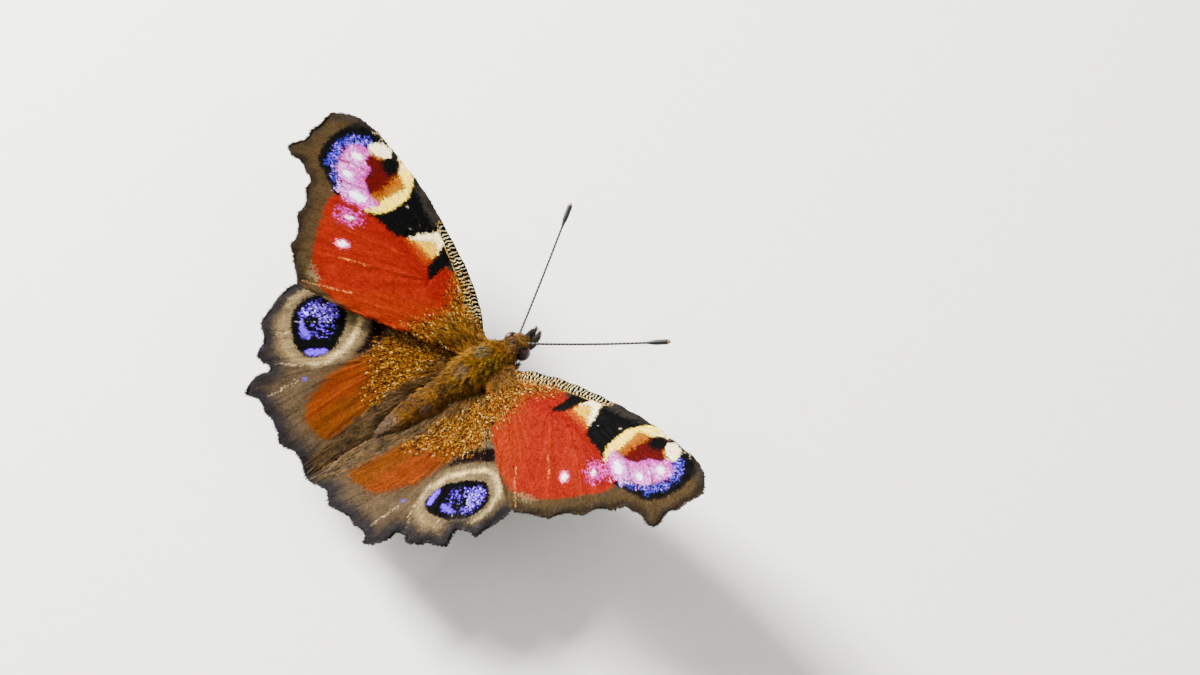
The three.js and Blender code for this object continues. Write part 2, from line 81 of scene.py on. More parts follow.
# The side of a coat member's own patch on the bake's map
PATCH = 0.003
HANDS = {1: "left", -1: "right"}
ABDOMEN_LEAN = 1.5
THORAX_REAR = 4.2
# The animal's own origin lies on the floor, under the thorax
ORIGIN = Vector(((THORAX_BOX[0].x + THORAX_BOX[1].x) / 2, THORAX_BOX[1].y - THORAX_REAR * MM, 0.0))
Pair = tuple[float, float]
Triple = tuple[float, float, float]


# Helpers for colours, nodes and meshes


def colour(code: str) -> tuple[float, float, float, float]:
    """Turns an sRGB hex code into the linear colour that a shader socket takes.

    Args:
        code: Six hex digits after a hash sign.

    Returns:
        Linear red, green, blue and full opacity.
    """
    parts = [int(code[i:i + 2], 16) / 255 for i in (1, 3, 5)]
    red, green, blue = [p / 12.92 if p <= 0.04045 else ((p + 0.055) / 1.055) ** 2.4 for p in parts]
    return (red, green, blue, 1.0)


def add_node(tree: bpy.types.NodeTree, kind: str, inputs: dict | None = None,
             **settings: Any) -> bpy.types.Node:
    """Adds a node with its settings, and sets or links its inputs.

    Args:
        tree: The node tree to add to.
        kind: Blender's name of the node type.
        inputs: For each input, by name or number, a value, a socket or a node to link.
        **settings: The node's own properties.

    Returns:
        The new node.
    """
    node = tree.nodes.new(kind)
    for name, value in settings.items():
        setattr(node, name, value)
    for key, value in (inputs or {}).items():
        if isinstance(value, bpy.types.Node):
            value = value.outputs[0]
        if isinstance(value, bpy.types.NodeSocket):
            tree.links.new(value, node.inputs[key])
        else:
            node.inputs[key].default_value = value
    return node


def curve_through(points: Sequence[Sequence[float]], closed: bool = False, pieces: int = 6) -> np.ndarray:
    """Draws a smooth curve through points.

    Args:
        points: The points, of any one dimension.
        closed: Whether the curve comes back to its first point.
        pieces: How many steps lie between two points.

    Returns:
        The points of the curve, one row each.
    """
    p = np.asarray(points, float)
    count = len(p)
    out = []
    for i in range(count if closed else count - 1):
        near = [k % count if closed else min(max(k, 0), count - 1) for k in range(i - 1, i + 3)]
        a, b, c, d = p[near]
        slope, bend, twist = c - a, 2 * a - 5 * b + 4 * c - d, 3 * b - a - 3 * c + d
        for t in np.arange(pieces) / pieces:
            out.append(b + 0.5 * (slope * t + bend * t**2 + twist * t**3))
    if not closed:
        out.append(p[-1])
    return np.array(out)


def even_steps(line: np.ndarray, step: float) -> np.ndarray:
    """Sets points at even steps along an open line.

    Args:
        line: The line's points.
        step: The distance wanted between two points.

    Returns:
        The new points, with both ends kept.
    """
    run = np.concatenate([[0], np.cumsum(np.linalg.norm(np.diff(line, axis=0), axis=1))])
    places = np.linspace(0, run[-1], max(int(round(run[-1] / step)), 1) + 1)
    return np.stack([np.interp(places, run, line[:, k]) for k in range(line.shape[1])], axis=1)


def unit(rows: np.ndarray) -> np.ndarray:
    """Makes every row 1 long."""
    return rows / np.maximum(np.linalg.norm(rows, axis=1, keepdims=True), TINY)


@dataclass
class Nearness:
    """How points lie to a line: distance, run along the line and the line's direction there."""

    distance: np.ndarray
    along: np.ndarray
    direction: np.ndarray


def nearness(points: np.ndarray, line: np.ndarray, closed: bool = False) -> Nearness:
    """Measures points against a line in a wing's plane.

    Args:
        points: The points to measure.
        line: The line's points.
        closed: Whether the line comes back to its first point.

    Returns:
        The nearness of every point.
    """
    start = line if closed else line[:-1]
    end = np.roll(line, -1, axis=0) if closed else line[1:]
    step = end - start
    length = np.maximum(np.linalg.norm(step, axis=1), TINY)
    run = np.concatenate([[0], np.cumsum(length)[:-1]])
    offset = points[:, None, :] - start[None]
    share = np.clip((offset * step).sum(2) / length**2, 0, 1)
    gap = np.linalg.norm(offset - share[..., None] * step, axis=2)
    best = gap.argmin(1)
    rows = np.arange(len(points))
    along = run[best] + share[rows, best] * length[best]
    return Nearness(gap[rows, best], along, (step / length[:, None])[best])


def inside(points: np.ndarray, ring: np.ndarray) -> np.ndarray:
    """Says which points lie inside a closed line.

    Args:
        points: The points to test.
        ring: The closed line's points.

    Returns:
        True for every point inside.
    """
    a, b = ring, np.roll(ring, -1, axis=0)
    x, y = points[:, :1], points[:, 1:]
    crosses = (a[:, 1] > y) != (b[:, 1] > y)
    rise = np.where(np.abs(b[:, 1] - a[:, 1]) < TINY, TINY, b[:, 1] - a[:, 1])
    return (crosses & (x < a[:, 0] + (y - a[:, 1]) * (b[:, 0] - a[:, 0]) / rise)).sum(1) % 2 == 1


def depth_inside(points: np.ndarray, outline: Sequence[Pair]) -> np.ndarray:
    """Measures how far points lie inside a smooth closed outline.

    Args:
        points: The points to measure.
        outline: The corners that the outline runs through.

    Returns:
        Millimetres inside, below zero outside.
    """
    ring = curve_through(outline, closed=True)
    distance = nearness(points, ring, closed=True).distance
    return np.where(inside(points, ring), distance, -distance)


def oval(centre: Pair, radii: Pair, tilt: float = 0.0) -> tuple[Pair, ...]:
    """Gives the corners of an oval marking.

    Args:
        centre: Its middle on the wing.
        radii: Half its length and half its width.
        tilt: How far it is turned, in degrees.

    Returns:
        Twelve points round it.
    """
    lean = math.radians(tilt)
    ring = []
    for turn in np.arange(12) * math.tau / 12:
        u, v = radii[0] * math.cos(turn), radii[1] * math.sin(turn)
        ring.append((centre[0] + u * math.cos(lean) - v * math.sin(lean),
                     centre[1] + u * math.sin(lean) + v * math.cos(lean)))
    return tuple(ring)


def ease(value: np.ndarray, low: float, high: float) -> np.ndarray:
    """Rises smoothly from 0 at low to 1 at high."""
    t = np.clip((value - low) / (high - low), 0, 1)
    return t * t * (3 - 2 * t)


def give(mesh: bpy.types.Mesh, name: str, values: np.ndarray) -> None:
    """Stores a number or a vector on every vertex of a mesh.

    Args:
        mesh: The mesh that keeps them.
        name: The attribute's name.
        values: One row for each vertex.
    """
    kind, slot = ("FLOAT_VECTOR", "vector") if values.ndim == 2 else ("FLOAT", "value")
    layer = mesh.attributes.new(name, kind, "POINT")
    layer.data.foreach_set(slot, np.ascontiguousarray(values, np.float32).ravel())


def build_mesh(name: str, places: np.ndarray, faces: Iterable[Sequence[int]]) -> bpy.types.Mesh:
    """Makes a smooth-shaded mesh from its places and faces.

    Args:
        name: The mesh's name.
        places: One row for each vertex.
        faces: The vertex numbers of each face.

    Returns:
        The mesh, in millimetres.
    """
    mesh = bpy.data.meshes.new(name)
    corners = [tuple(place) for place in np.asarray(places, float)]
    mesh.from_pydata(corners, [], [tuple(int(i) for i in face) for face in faces])
    mesh.polygons.foreach_set("use_smooth", np.ones(len(mesh.polygons), bool))
    mesh.update()
    return mesh


def closed_mesh(name: str, places: np.ndarray, faces: Iterable[Sequence[int]]) -> bpy.types.Mesh:
    """Makes a mesh of closed parts, and turns the faces of each part outwards.

    Args:
        name: The mesh's name.
        places: One row for each vertex.
        faces: The vertex numbers of each face.

    Returns:
        The mesh, in millimetres.
    """
    mesh = build_mesh(name, places, faces)
    work = bmesh.new()
    work.from_mesh(mesh)
    bmesh.ops.recalc_face_normals(work, faces=work.faces)
    work.to_mesh(mesh)
    work.free()
    return mesh


def normals_of(mesh: bpy.types.Mesh) -> np.ndarray:
    """Gives the outward direction at every vertex.

    Args:
        mesh: The mesh to read.

    Returns:
        One row for each vertex.
    """
    out = np.empty(len(mesh.vertices) * 3, np.float32)
    mesh.vertex_normals.foreach_get("vector", out)
    return out.reshape(-1, 3).astype(float)


def loft(rings: np.ndarray) -> tuple[np.ndarray, list]:
    """Joins a row of rings to a closed body.

    Args:
        rings: The rings' points, by ring, by corner.

    Returns:
        The places, with the middles of both end rings last, and the faces.
    """
    rows, sides = rings.shape[:2]
    first, last, end = rows * sides, rows * sides + 1, (rows - 1) * sides
    faces = []
    for k in range(sides):
        ahead = (k + 1) % sides
        faces += [(i + k, i + k + sides, i + ahead + sides, i + ahead) for i in range(0, end, sides)]
        faces += [(first, k, ahead), (last, end + ahead, end + k)]
    return np.concatenate([rings.reshape(-1, 3), rings[[0, -1]].mean(1)]), faces


def tube(path: np.ndarray, radii: np.ndarray, sides: int = 12) -> tuple[np.ndarray, list]:
    """Wraps a closed round tube about a path.

    Args:
        path: The middle line's points.
        radii: The radius at each of them.
        sides: How many corners a ring has.

    Returns:
        The places and the faces.
    """
    turns = np.arange(sides)[:, None] * math.tau / sides
    rings, side = [], None
    for i, point in enumerate(path):
        ahead = Vector(path[min(i + 1, len(path) - 1)] - path[max(i - 1, 0)]).normalized()
        if side is None:
            side = ahead.cross(Vector((0, 0, 1)))
            side = side if side.length > 0.1 else ahead.cross(Vector((1, 0, 0)))
        side = (side - ahead * side.dot(ahead)).normalized()
        across, up = np.array(side), np.array(side.cross(ahead))
        rings.append(point + radii[i] * (np.cos(turns) * across + np.sin(turns) * up))
    return loft(np.array(rings))


def joined(parts: Sequence[tuple[np.ndarray, list]]) -> tuple[np.ndarray, list]:
    """Joins several closed parts into one.

    Args:
        parts: The places and faces of each part.

    Returns:
        The places and faces of them all.
    """
    faces, start = [], 0
    for places, part_faces in parts:
        faces += [tuple(i + start for i in face) for face in part_faces]
        start += len(places)
    return np.concatenate([places for places, _ in parts]), faces


def unwrap(mesh: bpy.types.Mesh, places: np.ndarray, wrap: bool = False) -> None:
    """Lays a mesh out on the bake's map, and keeps the same layout for the coats that grow on it.

    Args:
        mesh: The mesh to map.
        places: The place of each vertex on the map.
        wrap: Whether the map runs round, so that its last faces end at 1 and not at 0.
    """
    flat = places[np.array([loop.vertex_index for loop in mesh.loops])]
    if wrap:
        for face in mesh.polygons:
            across = flat[face.loop_start:face.loop_start + face.loop_total, 0]
            if face.loop_total == 4 and across.max() - across.min() > 0.5:
                across[across < 0.5] += 1.0
    for name in ("OFBake", "unwrap"):
        layer = mesh.attributes.new(name, "FLOAT2", "CORNER")
        layer.data.foreach_set("vector", np.clip(flat, 0.0, 1.0).astype(np.float32).ravel())


def comb(mesh: bpy.types.Mesh, path: np.ndarray) -> None:
    """Gives a limb the attributes that its hair grows by, with the hair lying along it.

    Args:
        mesh: The limb.
        path: Its middle line.
    """
    places = np.array([vertex.co[:] for vertex in mesh.vertices])
    facing = normals_of(mesh)
    nearest = np.linalg.norm(places[:, None] - path[None], axis=2).argmin(1)
    lie = np.gradient(path, axis=0)[nearest]
    lie -= facing * (lie * facing).sum(1, keepdims=True)
    give(mesh, "facing", facing)
    give(mesh, "lie", unit(lie))
    give(mesh, "reach", np.ones(len(places)))
    turn = np.arctan2(facing[:, 0], facing[:, 2]) / math.tau + 0.5
    unwrap(mesh, np.column_stack([turn, np.linspace(0, 1, len(path))[nearest]]), wrap=True)


class Finish(Protocol):
    """Anything that builds the material of one surface."""

    def build(self) -> bpy.types.Material:
        """Builds the material."""


class Workshop:
    """Builds each finish once, and hands finished meshes to the frame."""

    def __init__(self) -> None:
        """Starts without finishes."""
        self.finishes: dict[Finish, bpy.types.Material] = {}

    def finish(self, wanted: Finish) -> bpy.types.Material:
        """Gives the material of a finish.

        Args:
            wanted: The finish.

        Returns:
            Its material, built when it is first asked for.
        """
        if wanted not in self.finishes:
            self.finishes[wanted] = wanted.build()
        return self.finishes[wanted]

    def deliver(self, mesh: bpy.types.Mesh, finishes: Sequence[Finish] = (),
                replaces: Sequence[str] = ()) -> None:
        """Turns a mesh to metres, sets it on the solids and makes it a piece of the model.

        Args:
            mesh: The mesh in millimetres, named as its piece.
            finishes: Its finishes, in slot order, for a mesh that has none yet.
            replaces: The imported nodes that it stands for.
        """
        mesh.transform(Matrix.Translation(ORIGIN) @ Matrix.Scale(MM, 4))
        for finish in finishes:
            mesh.materials.append(self.finish(finish))
        piece = bpy.data.objects.new(mesh.name, mesh)
        bpy.context.scene.collection.objects.link(piece)
        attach(piece, "root")
        if replaces:
            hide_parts(*replaces)
        log.info("%s: %d faces", piece.name, len(mesh.polygons))


# Finishes


class Paintwork:
    """The node tree of one finish, with the colour that is laid on it so far."""

    def __init__(self, name: str, base: str, roughness: float, gloss: float, ior: float = 1.56) -> None:
        """Starts a finish with one even colour.

        Args:
            name: What the surface is made of.
            base: Its lowest colour, as a hex code.
            roughness: How far it scatters what it reflects.
            gloss: How much it reflects, where 0.5 is a bare clear surface.
            ior: How strongly it bends light, 1.56 for chitin.
        """
        self.material = bpy.data.materials.new(name)
        self.material.use_nodes = True
        self.tree = self.material.node_tree
        self.tree.nodes.clear()
        self.shader = self.add("BsdfPrincipled", {
            "Roughness": roughness, "Specular IOR Level": gloss, "IOR": ior})
        self.add("OutputMaterial", {"Surface": self.shader})
        self.tint: Any = colour(base)

    def add(self, kind: str, inputs: dict | None = None, **settings: Any) -> bpy.types.Node:
        """Adds a shader node to the finish, as add_node does."""
        return add_node(self.tree, f"ShaderNode{kind}", inputs, **settings)

    def lay(self, over: Any, value: Any, low: float, high: float,
            share: float = 1.0, where: Any = 1.0) -> None:
        """Lays a colour over the others where a value goes from low to high.

        Args:
            over: The colour, as a hex code or a socket.
            value: The socket that says where it lies.
            low: The value at which it starts.
            high: The value at which it has its full share.
            share: How far it hides what lies under it.
            where: A second measure, 0 where the colour is kept off.
        """
        rise = self.add("MapRange", {0: value, 1: low, 2: high, 3: 0.0, 4: share},
                        interpolation_type="SMOOTHSTEP")
        cover = self.add("Math", {0: rise, 1: where}, operation="MULTIPLY")
        over = colour(over) if isinstance(over, str) else over
        self.tint = self.add("Mix", {0: cover, 6: self.tint, 7: over}, data_type="RGBA").outputs[2]

    def close(self, relief: Any = None, strength: float = 0.5, depth: float = 0.03) -> bpy.types.Material:
        """Joins the colour to the surface, with a fine relief.

        Args:
            relief: The socket of the relief's height.
            strength: How clearly the relief shows.
            depth: Its depth in millimetres.

        Returns:
            The finished material.
        """
        self.tree.links.new(self.tint, self.shader.inputs["Base Color"])
        if relief:
            bump = self.add("Bump", {"Strength": strength, "Distance": depth * MM, "Height": relief})
            self.tree.links.new(bump.outputs[0], self.shader.inputs["Normal"])
        return self.material


class Form(Enum):
    """How a marking is drawn on the wing."""

    AREA = "area"
    LINE = "line"


@dataclass(frozen=True)
class Marking:
    """One patch or line of like-coloured scales on a wing."""

    name: str
    tint: str
    points: tuple[Pair, ...]
    edge: float = 0.1
    scatter: float = 0.22
    streak: float = 0.0
    strength: float = 1.0
    form: Form = Form.AREA
    half_width: float = 0.0
    bare: float = 0.0

    def measure(self, points: np.ndarray) -> np.ndarray:
        """Measures how far points lie inside the marking.

        Args:
            points: Places on the wing.

        Returns:
            Millimetres inside, below zero outside.
        """
        if self.form is Form.AREA:
            return depth_inside(points, self.points)
        return self.half_width - nearness(points, curve_through(self.points)).distance


# What is drawn on the forewing, from the field of the wing up to the smallest spots
FOREWING_MARKINGS = (
    Marking("cell_red", "#700B00", (
        (3.9, 1.4), (4.3, 3.4), (5.3, 5.0), (6.4, 5.8), (8.2, 5.6), (10.5, 6.6), (12.0, 6.5), (14.5, 7.2),
        (17.0, 7.4), (19.5, 7.6), (19.7, 6.6), (16.0, 5.9), (13.0, 5.7), (11.0, 5.0), (8.6, 3.5),
        (6.0, 2.1)), 0.18, 0.3, 0.2),
    Marking("inner_orange", "#7A2000", (
        (2.0, -0.2), (5.0, 1.2), (8.0, 0.9), (11.0, 0.3), (14.0, -1.2), (18.0, -1.9), (19.0, -4.0),
        (-1.0, -4.0)), 1.3, 0.5, 0.6, 0.75),
    Marking("base_gold", "#6A2E00", (
        (-1.5, 3.0), (1.6, 1.2), (3.0, 2.9), (4.4, 4.7), (5.4, 5.5), (4.5, 3.9), (4.2, 2.0), (5.0, 0.6),
        (5.8, -0.8), (6.4, -3.5), (-2.0, -3.5)), 0.75, 0.9, 0.3),
    Marking("outer_band", "#3D2E18", (
        (19.4, 8.8), (20.2, 7.2), (20.05, 5.0), (19.8, 3.5), (19.5, 2.0), (19.1, 0.7), (18.6, -0.5),
        (17.8, -1.3), (16.8, -1.9), (15.4, -2.35), (13.5, -2.95), (24.0, -4.0), (29.0, 8.0), (28.0, 18.0),
        (15.0, 18.0), (14.6, 14.1), (16.8, 15.1), (18.5, 15.4), (21.5, 13.0), (21.0, 10.4)), 0.14, 0.4, 0.3),
    Marking("apex_ground", "#120E0B", (
        (12.9, 10.0), (12.9, 12.0), (12.8, 14.4), (17.0, 16.6), (20.0, 17.2), (21.6, 15.6), (22.9, 13.4),
        (23.0, 11.4), (22.2, 10.2), (20.6, 8.9), (18.8, 8.5), (16.4, 8.0), (14.8, 8.4), (13.6, 9.2)), 0.2,
        0.3),
    Marking("costal_brown", "#262019", (
        (14.5, 13.9), (16.8, 15.2), (18.6, 15.8), (20.0, 16.1), (21.4, 15.9), (22.6, 15.6), (23.6, 15.2),
        (25.0, 16.0), (22.0, 17.5), (17.0, 16.5)), 0.25, 0.4, 0.2),
    Marking("wedge_shade", "#221C15", (
        (4.4, 5.1), (5.5, 6.1), (6.3, 6.9), (7.3, 7.7), (7.5, 6.8), (6.6, 5.7), (6.0, 5.45), (5.3, 5.3)),
        0.22, 0.3),
    Marking("wedge_black", "#000000", (
        (6.3, 6.9), (6.9, 7.5), (7.55, 7.9), (7.7, 7.2), (7.95, 6.2), (8.1, 5.3), (7.95, 4.5), (7.6, 3.9),
        (7.25, 3.85), (6.95, 4.4), (6.65, 5.1), (6.35, 5.6), (6.15, 6.1)), 0.12, 0.3),
    Marking("cream_orange", "#8C3200", (
        (7.9, 6.6), (8.8, 7.0), (10.2, 7.0), (11.4, 6.7), (10.4, 6.1), (9.4, 5.6), (8.5, 5.1), (8.05, 5.6)),
        0.35, 0.5, 0.4),
    Marking("cream_yellow", "#CCA000", (
        (7.8, 7.0), (8.3, 7.6), (9.2, 7.5), (10.1, 7.2), (11.0, 6.85), (10.2, 6.7), (9.4, 6.45), (8.7, 6.15),
        (8.1, 5.95)), 0.25, 0.5, 0.3),
    Marking("cream_patch", "#FFE9B0", (
        (7.4, 7.9), (8.0, 8.6), (8.7, 9.2), (9.3, 8.8), (10.1, 8.3), (10.8, 7.7), (11.5, 6.95), (10.4, 7.0),
        (9.6, 7.2), (9.0, 7.5), (8.5, 7.5), (8.1, 7.2), (7.85, 6.5), (7.75, 7.0)), 0.16, 0.3),
    Marking("band_black", "#000000", (
        (8.4, 9.1), (9.1, 8.4), (9.9, 7.85), (10.6, 7.35), (11.3, 6.8), (12.0, 6.6), (12.9, 6.6),
        (13.8, 6.95), (15.0, 7.3), (16.3, 7.4), (16.6, 7.7), (15.6, 8.1), (14.9, 8.6), (14.3, 9.2),
        (13.8, 9.9), (13.5, 10.7), (13.4, 11.6), (13.6, 12.4), (14.0, 13.1), (14.2, 14.4), (11.0, 13.2),
        (8.0, 10.4)), 0.12, 0.3),
    Marking("costal_charcoal", "#221E1A", (
        (8.5, 9.2), (9.6, 9.4), (11.0, 10.5), (12.3, 11.7), (13.2, 12.7), (13.5, 13.2), (13.7, 14.4),
        (11.0, 13.2), (8.0, 10.4)), 0.25, 0.5),
    Marking("band_dot_outer", "#9E9179", oval((12.6, 9.85), (0.15, 0.13)), 0.06, 0.05),
    Marking("band_dot_inner", "#6B6255", oval((11.35, 7.8), (0.14, 0.1)), 0.06, 0.05),
    Marking("eye_rim", "#000000", (
        (17.8, 15.15), (18.6, 15.55), (20.0, 15.8), (21.1, 15.5), (21.9, 14.95), (22.5, 14.2), (22.95, 13.2),
        (23.15, 12.2), (23.15, 11.3), (22.9, 10.5), (22.15, 9.85), (21.45, 9.25), (20.75, 8.7),
        (20.15, 8.15), (19.4, 7.95), (19.0, 10.0), (18.8, 13.8), (18.2, 14.7)), 0.12, 0.3),
    Marking("eye_blue", "#24209C", (
        (18.6, 14.7), (19.3, 15.0), (20.2, 14.8), (20.9, 14.45), (21.45, 14.0), (21.85, 13.35), (22.2, 12.5),
        (22.35, 11.6), (22.2, 10.9), (21.8, 10.45), (21.2, 10.1), (20.8, 9.5), (20.4, 8.95), (20.0, 8.5),
        (19.3, 8.2), (18.8, 9.0), (18.9, 12.0), (18.8, 13.8)), 0.1, 0.6, 0.25, bare=0.36),
    Marking("eye_violet", "#8460D0", (
        (18.9, 14.4), (20.4, 14.4), (21.4, 13.7), (21.9, 12.6), (22.0, 11.3), (21.5, 10.5), (20.7, 9.6),
        (20.2, 8.8), (19.4, 8.3), (18.8, 9.0), (18.9, 12.0)), 0.3, 0.9, 0.4, 0.8, bare=0.6),
    Marking("eye_lilac", "#B83498", (
        (18.3, 13.7), (19.3, 13.9), (20.2, 13.6), (20.9, 12.9), (21.1, 12.0), (21.05, 11.0), (20.7, 10.3),
        (20.0, 9.6), (19.6, 9.1), (19.5, 8.4), (18.9, 7.95), (18.0, 7.65), (17.0, 7.6), (16.0, 7.7),
        (15.2, 8.1), (14.8, 8.6), (15.4, 9.2), (16.2, 9.6), (17.0, 10.0), (17.6, 11.0), (17.6, 12.0),
        (18.0, 12.9)), 0.12, 0.5, 0.5),
    Marking("eye_pale", "#CC9CDC", (
        (15.6, 8.2), (17.0, 7.85), (18.6, 7.95), (19.7, 8.5), (20.4, 9.4), (20.9, 10.8), (20.8, 12.5),
        (20.2, 13.3), (19.0, 13.2), (18.6, 12.0), (18.5, 10.8), (17.6, 9.8), (16.2, 9.2)), 0.15, 1.1, 0.6,
        0.8, bare=0.55),
    Marking("eye_seam", "#35001D", (
        (19.9, 9.55), (20.6, 10.2), (21.05, 10.9), (21.1, 11.8), (20.95, 12.6), (21.2, 13.2)),
        0.1, 0.45, 0.1, 0.8, Form.LINE, 0.07),
    Marking("eye_maroon", "#440200", (
        (14.7, 12.2), (15.0, 12.9), (15.6, 13.7), (16.4, 13.9), (17.2, 13.5), (18.2, 13.4), (18.5, 12.9),
        (18.1, 12.35), (17.6, 12.0), (17.4, 11.6), (17.7, 11.0), (17.8, 10.6), (17.2, 10.1), (16.6, 9.5),
        (15.9, 9.4), (15.4, 9.9), (15.1, 10.6), (14.9, 11.3)), 0.1, 0.35, 0.5),
    Marking("upper_streak", "#5A010F", ((17.2, 11.55), (18.2, 11.6), (19.5, 11.75), (20.9, 11.6)),
            0.08, 0.22, 0.1, 0.9, Form.LINE, 0.07),
    Marking("middle_streak", "#5A010F", ((17.0, 10.7), (17.8, 10.75), (18.4, 10.85)),
            0.08, 0.25, 0.1, 0.9, Form.LINE, 0.08),
    Marking("lower_streak", "#5A010F", ((16.0, 9.45), (17.0, 9.62), (18.2, 9.68), (19.9, 9.6)),
            0.08, 0.22, 0.1, 0.9, Form.LINE, 0.07),
    Marking("yellow_crescent", "#8E5400", (
        (13.6, 11.2), (14.0, 12.2), (14.7, 12.6), (15.1, 12.1), (15.15, 11.4), (15.45, 10.8), (15.6, 10.2),
        (16.0, 9.7), (16.2, 9.2), (15.4, 8.9), (14.8, 9.5), (14.4, 10.2), (13.9, 10.8)), 0.3, 0.6, 0.6),
    Marking("orange_edge", "#8A3400", (
        (14.55, 12.2), (14.85, 11.5), (15.1, 10.8), (15.5, 10.1), (15.95, 9.5)), 0.25, 0.5, 0.5, 0.85,
        Form.LINE, 0.1),
    Marking("yellow_cap", "#985800", (
        (16.9, 13.4), (17.6, 13.35), (18.4, 13.4), (18.4, 13.7), (17.6, 13.65), (16.9, 13.7)), 0.12, 0.3),
    Marking("cream_crescent", "#F8D440", (
        (13.6, 13.3), (13.2, 12.5), (13.0, 11.5), (13.02, 10.8), (13.25, 10.0), (13.7, 9.2), (14.2, 8.5),
        (14.8, 8.0), (15.6, 7.7), (16.4, 7.62), (15.9, 8.1), (15.3, 8.5), (15.35, 9.0), (15.1, 9.6),
        (14.65, 10.2), (14.2, 10.8), (13.7, 11.4), (14.0, 12.0), (14.6, 12.5), (15.05, 12.9), (15.0, 13.4),
        (14.9, 14.0), (14.2, 13.8)), 0.13, 0.3, 0.2),
    Marking("cream_grain", "#FFE190", (
        (14.3, 13.9), (15.0, 14.2), (15.6, 14.5), (15.5, 13.9), (15.2, 13.2), (14.6, 13.1)), 0.2, 0.8, 0.3),
    Marking("eye_black", "#000000", (
        (15.1, 13.2), (15.4, 13.8), (16.5, 13.95), (17.0, 13.3), (16.7, 12.6), (16.0, 12.15), (15.35, 12.3),
        (15.05, 12.8)), 0.22, 0.4, 0.3),
    Marking("cream_apex", "#FFEBB8", (
        (16.5, 13.9), (16.5, 14.4), (16.9, 14.85), (17.6, 15.0), (18.3, 14.85), (18.8, 14.3), (18.8, 13.95),
        (18.2, 13.65), (17.5, 13.6), (16.9, 13.7)), 0.12, 0.35),
    Marking("costal_flecks", "#9F8E6F", ((14.0, 13.75), (15.5, 14.55), (17.0, 15.25), (18.9, 15.85)),
            0.08, 0.6, 0.0, 0.85, Form.LINE, 0.05),
    Marking("spot_five", "#FFFFFF", oval((19.55, 12.62), (0.55, 0.36)), 0.14, 0.22),
    Marking("spot_four", "#FFFFFF", oval((19.6, 10.55), (0.55, 0.27), 8.0), 0.12, 0.22),
    Marking("spot_three", "#FFFFFF", oval((17.7, 8.7), (1.0, 0.36), 5.0), 0.14, 0.25),
    Marking("spot_two_halo", "#B83094", oval((17.55, 6.45), (1.45, 0.75)), 0.25, 1.0, 0.6, 0.9, bare=0.2),
    Marking("spot_two", "#FFFFFF", oval((17.5, 6.25), (0.38, 0.2)), 0.12, 0.22),
    Marking("spot_one_halo", "#E86098", oval((16.95, 3.4), (0.78, 0.45), -8.0), 0.15, 0.4, 0.0, 0.8),
    Marking("spot_one", "#FFFFFF", oval((16.95, 3.4), (0.46, 0.25), -8.0), 0.12, 0.25),
    Marking("pale_fold", "#B67B45", ((13.9, -1.0), (16.0, -1.45), (19.2, -1.95)),
            0.06, 0.2, 0.0, 0.7, Form.LINE, 0.03),
    Marking("pale_scratch", "#B86A20", ((13.5, 2.35), (15.0, 2.15), (16.8, 1.85)),
            0.05, 0.35, 0.0, 0.7, Form.LINE, 0.02),
    Marking("fold_grain", "#6A5E40", ((18.0, -0.6), (18.9, 0.2), (18.9, -0.9), (18.2, -1.4), (17.6, -1.0)),
            0.2, 0.8, 0.0, 0.7),
)

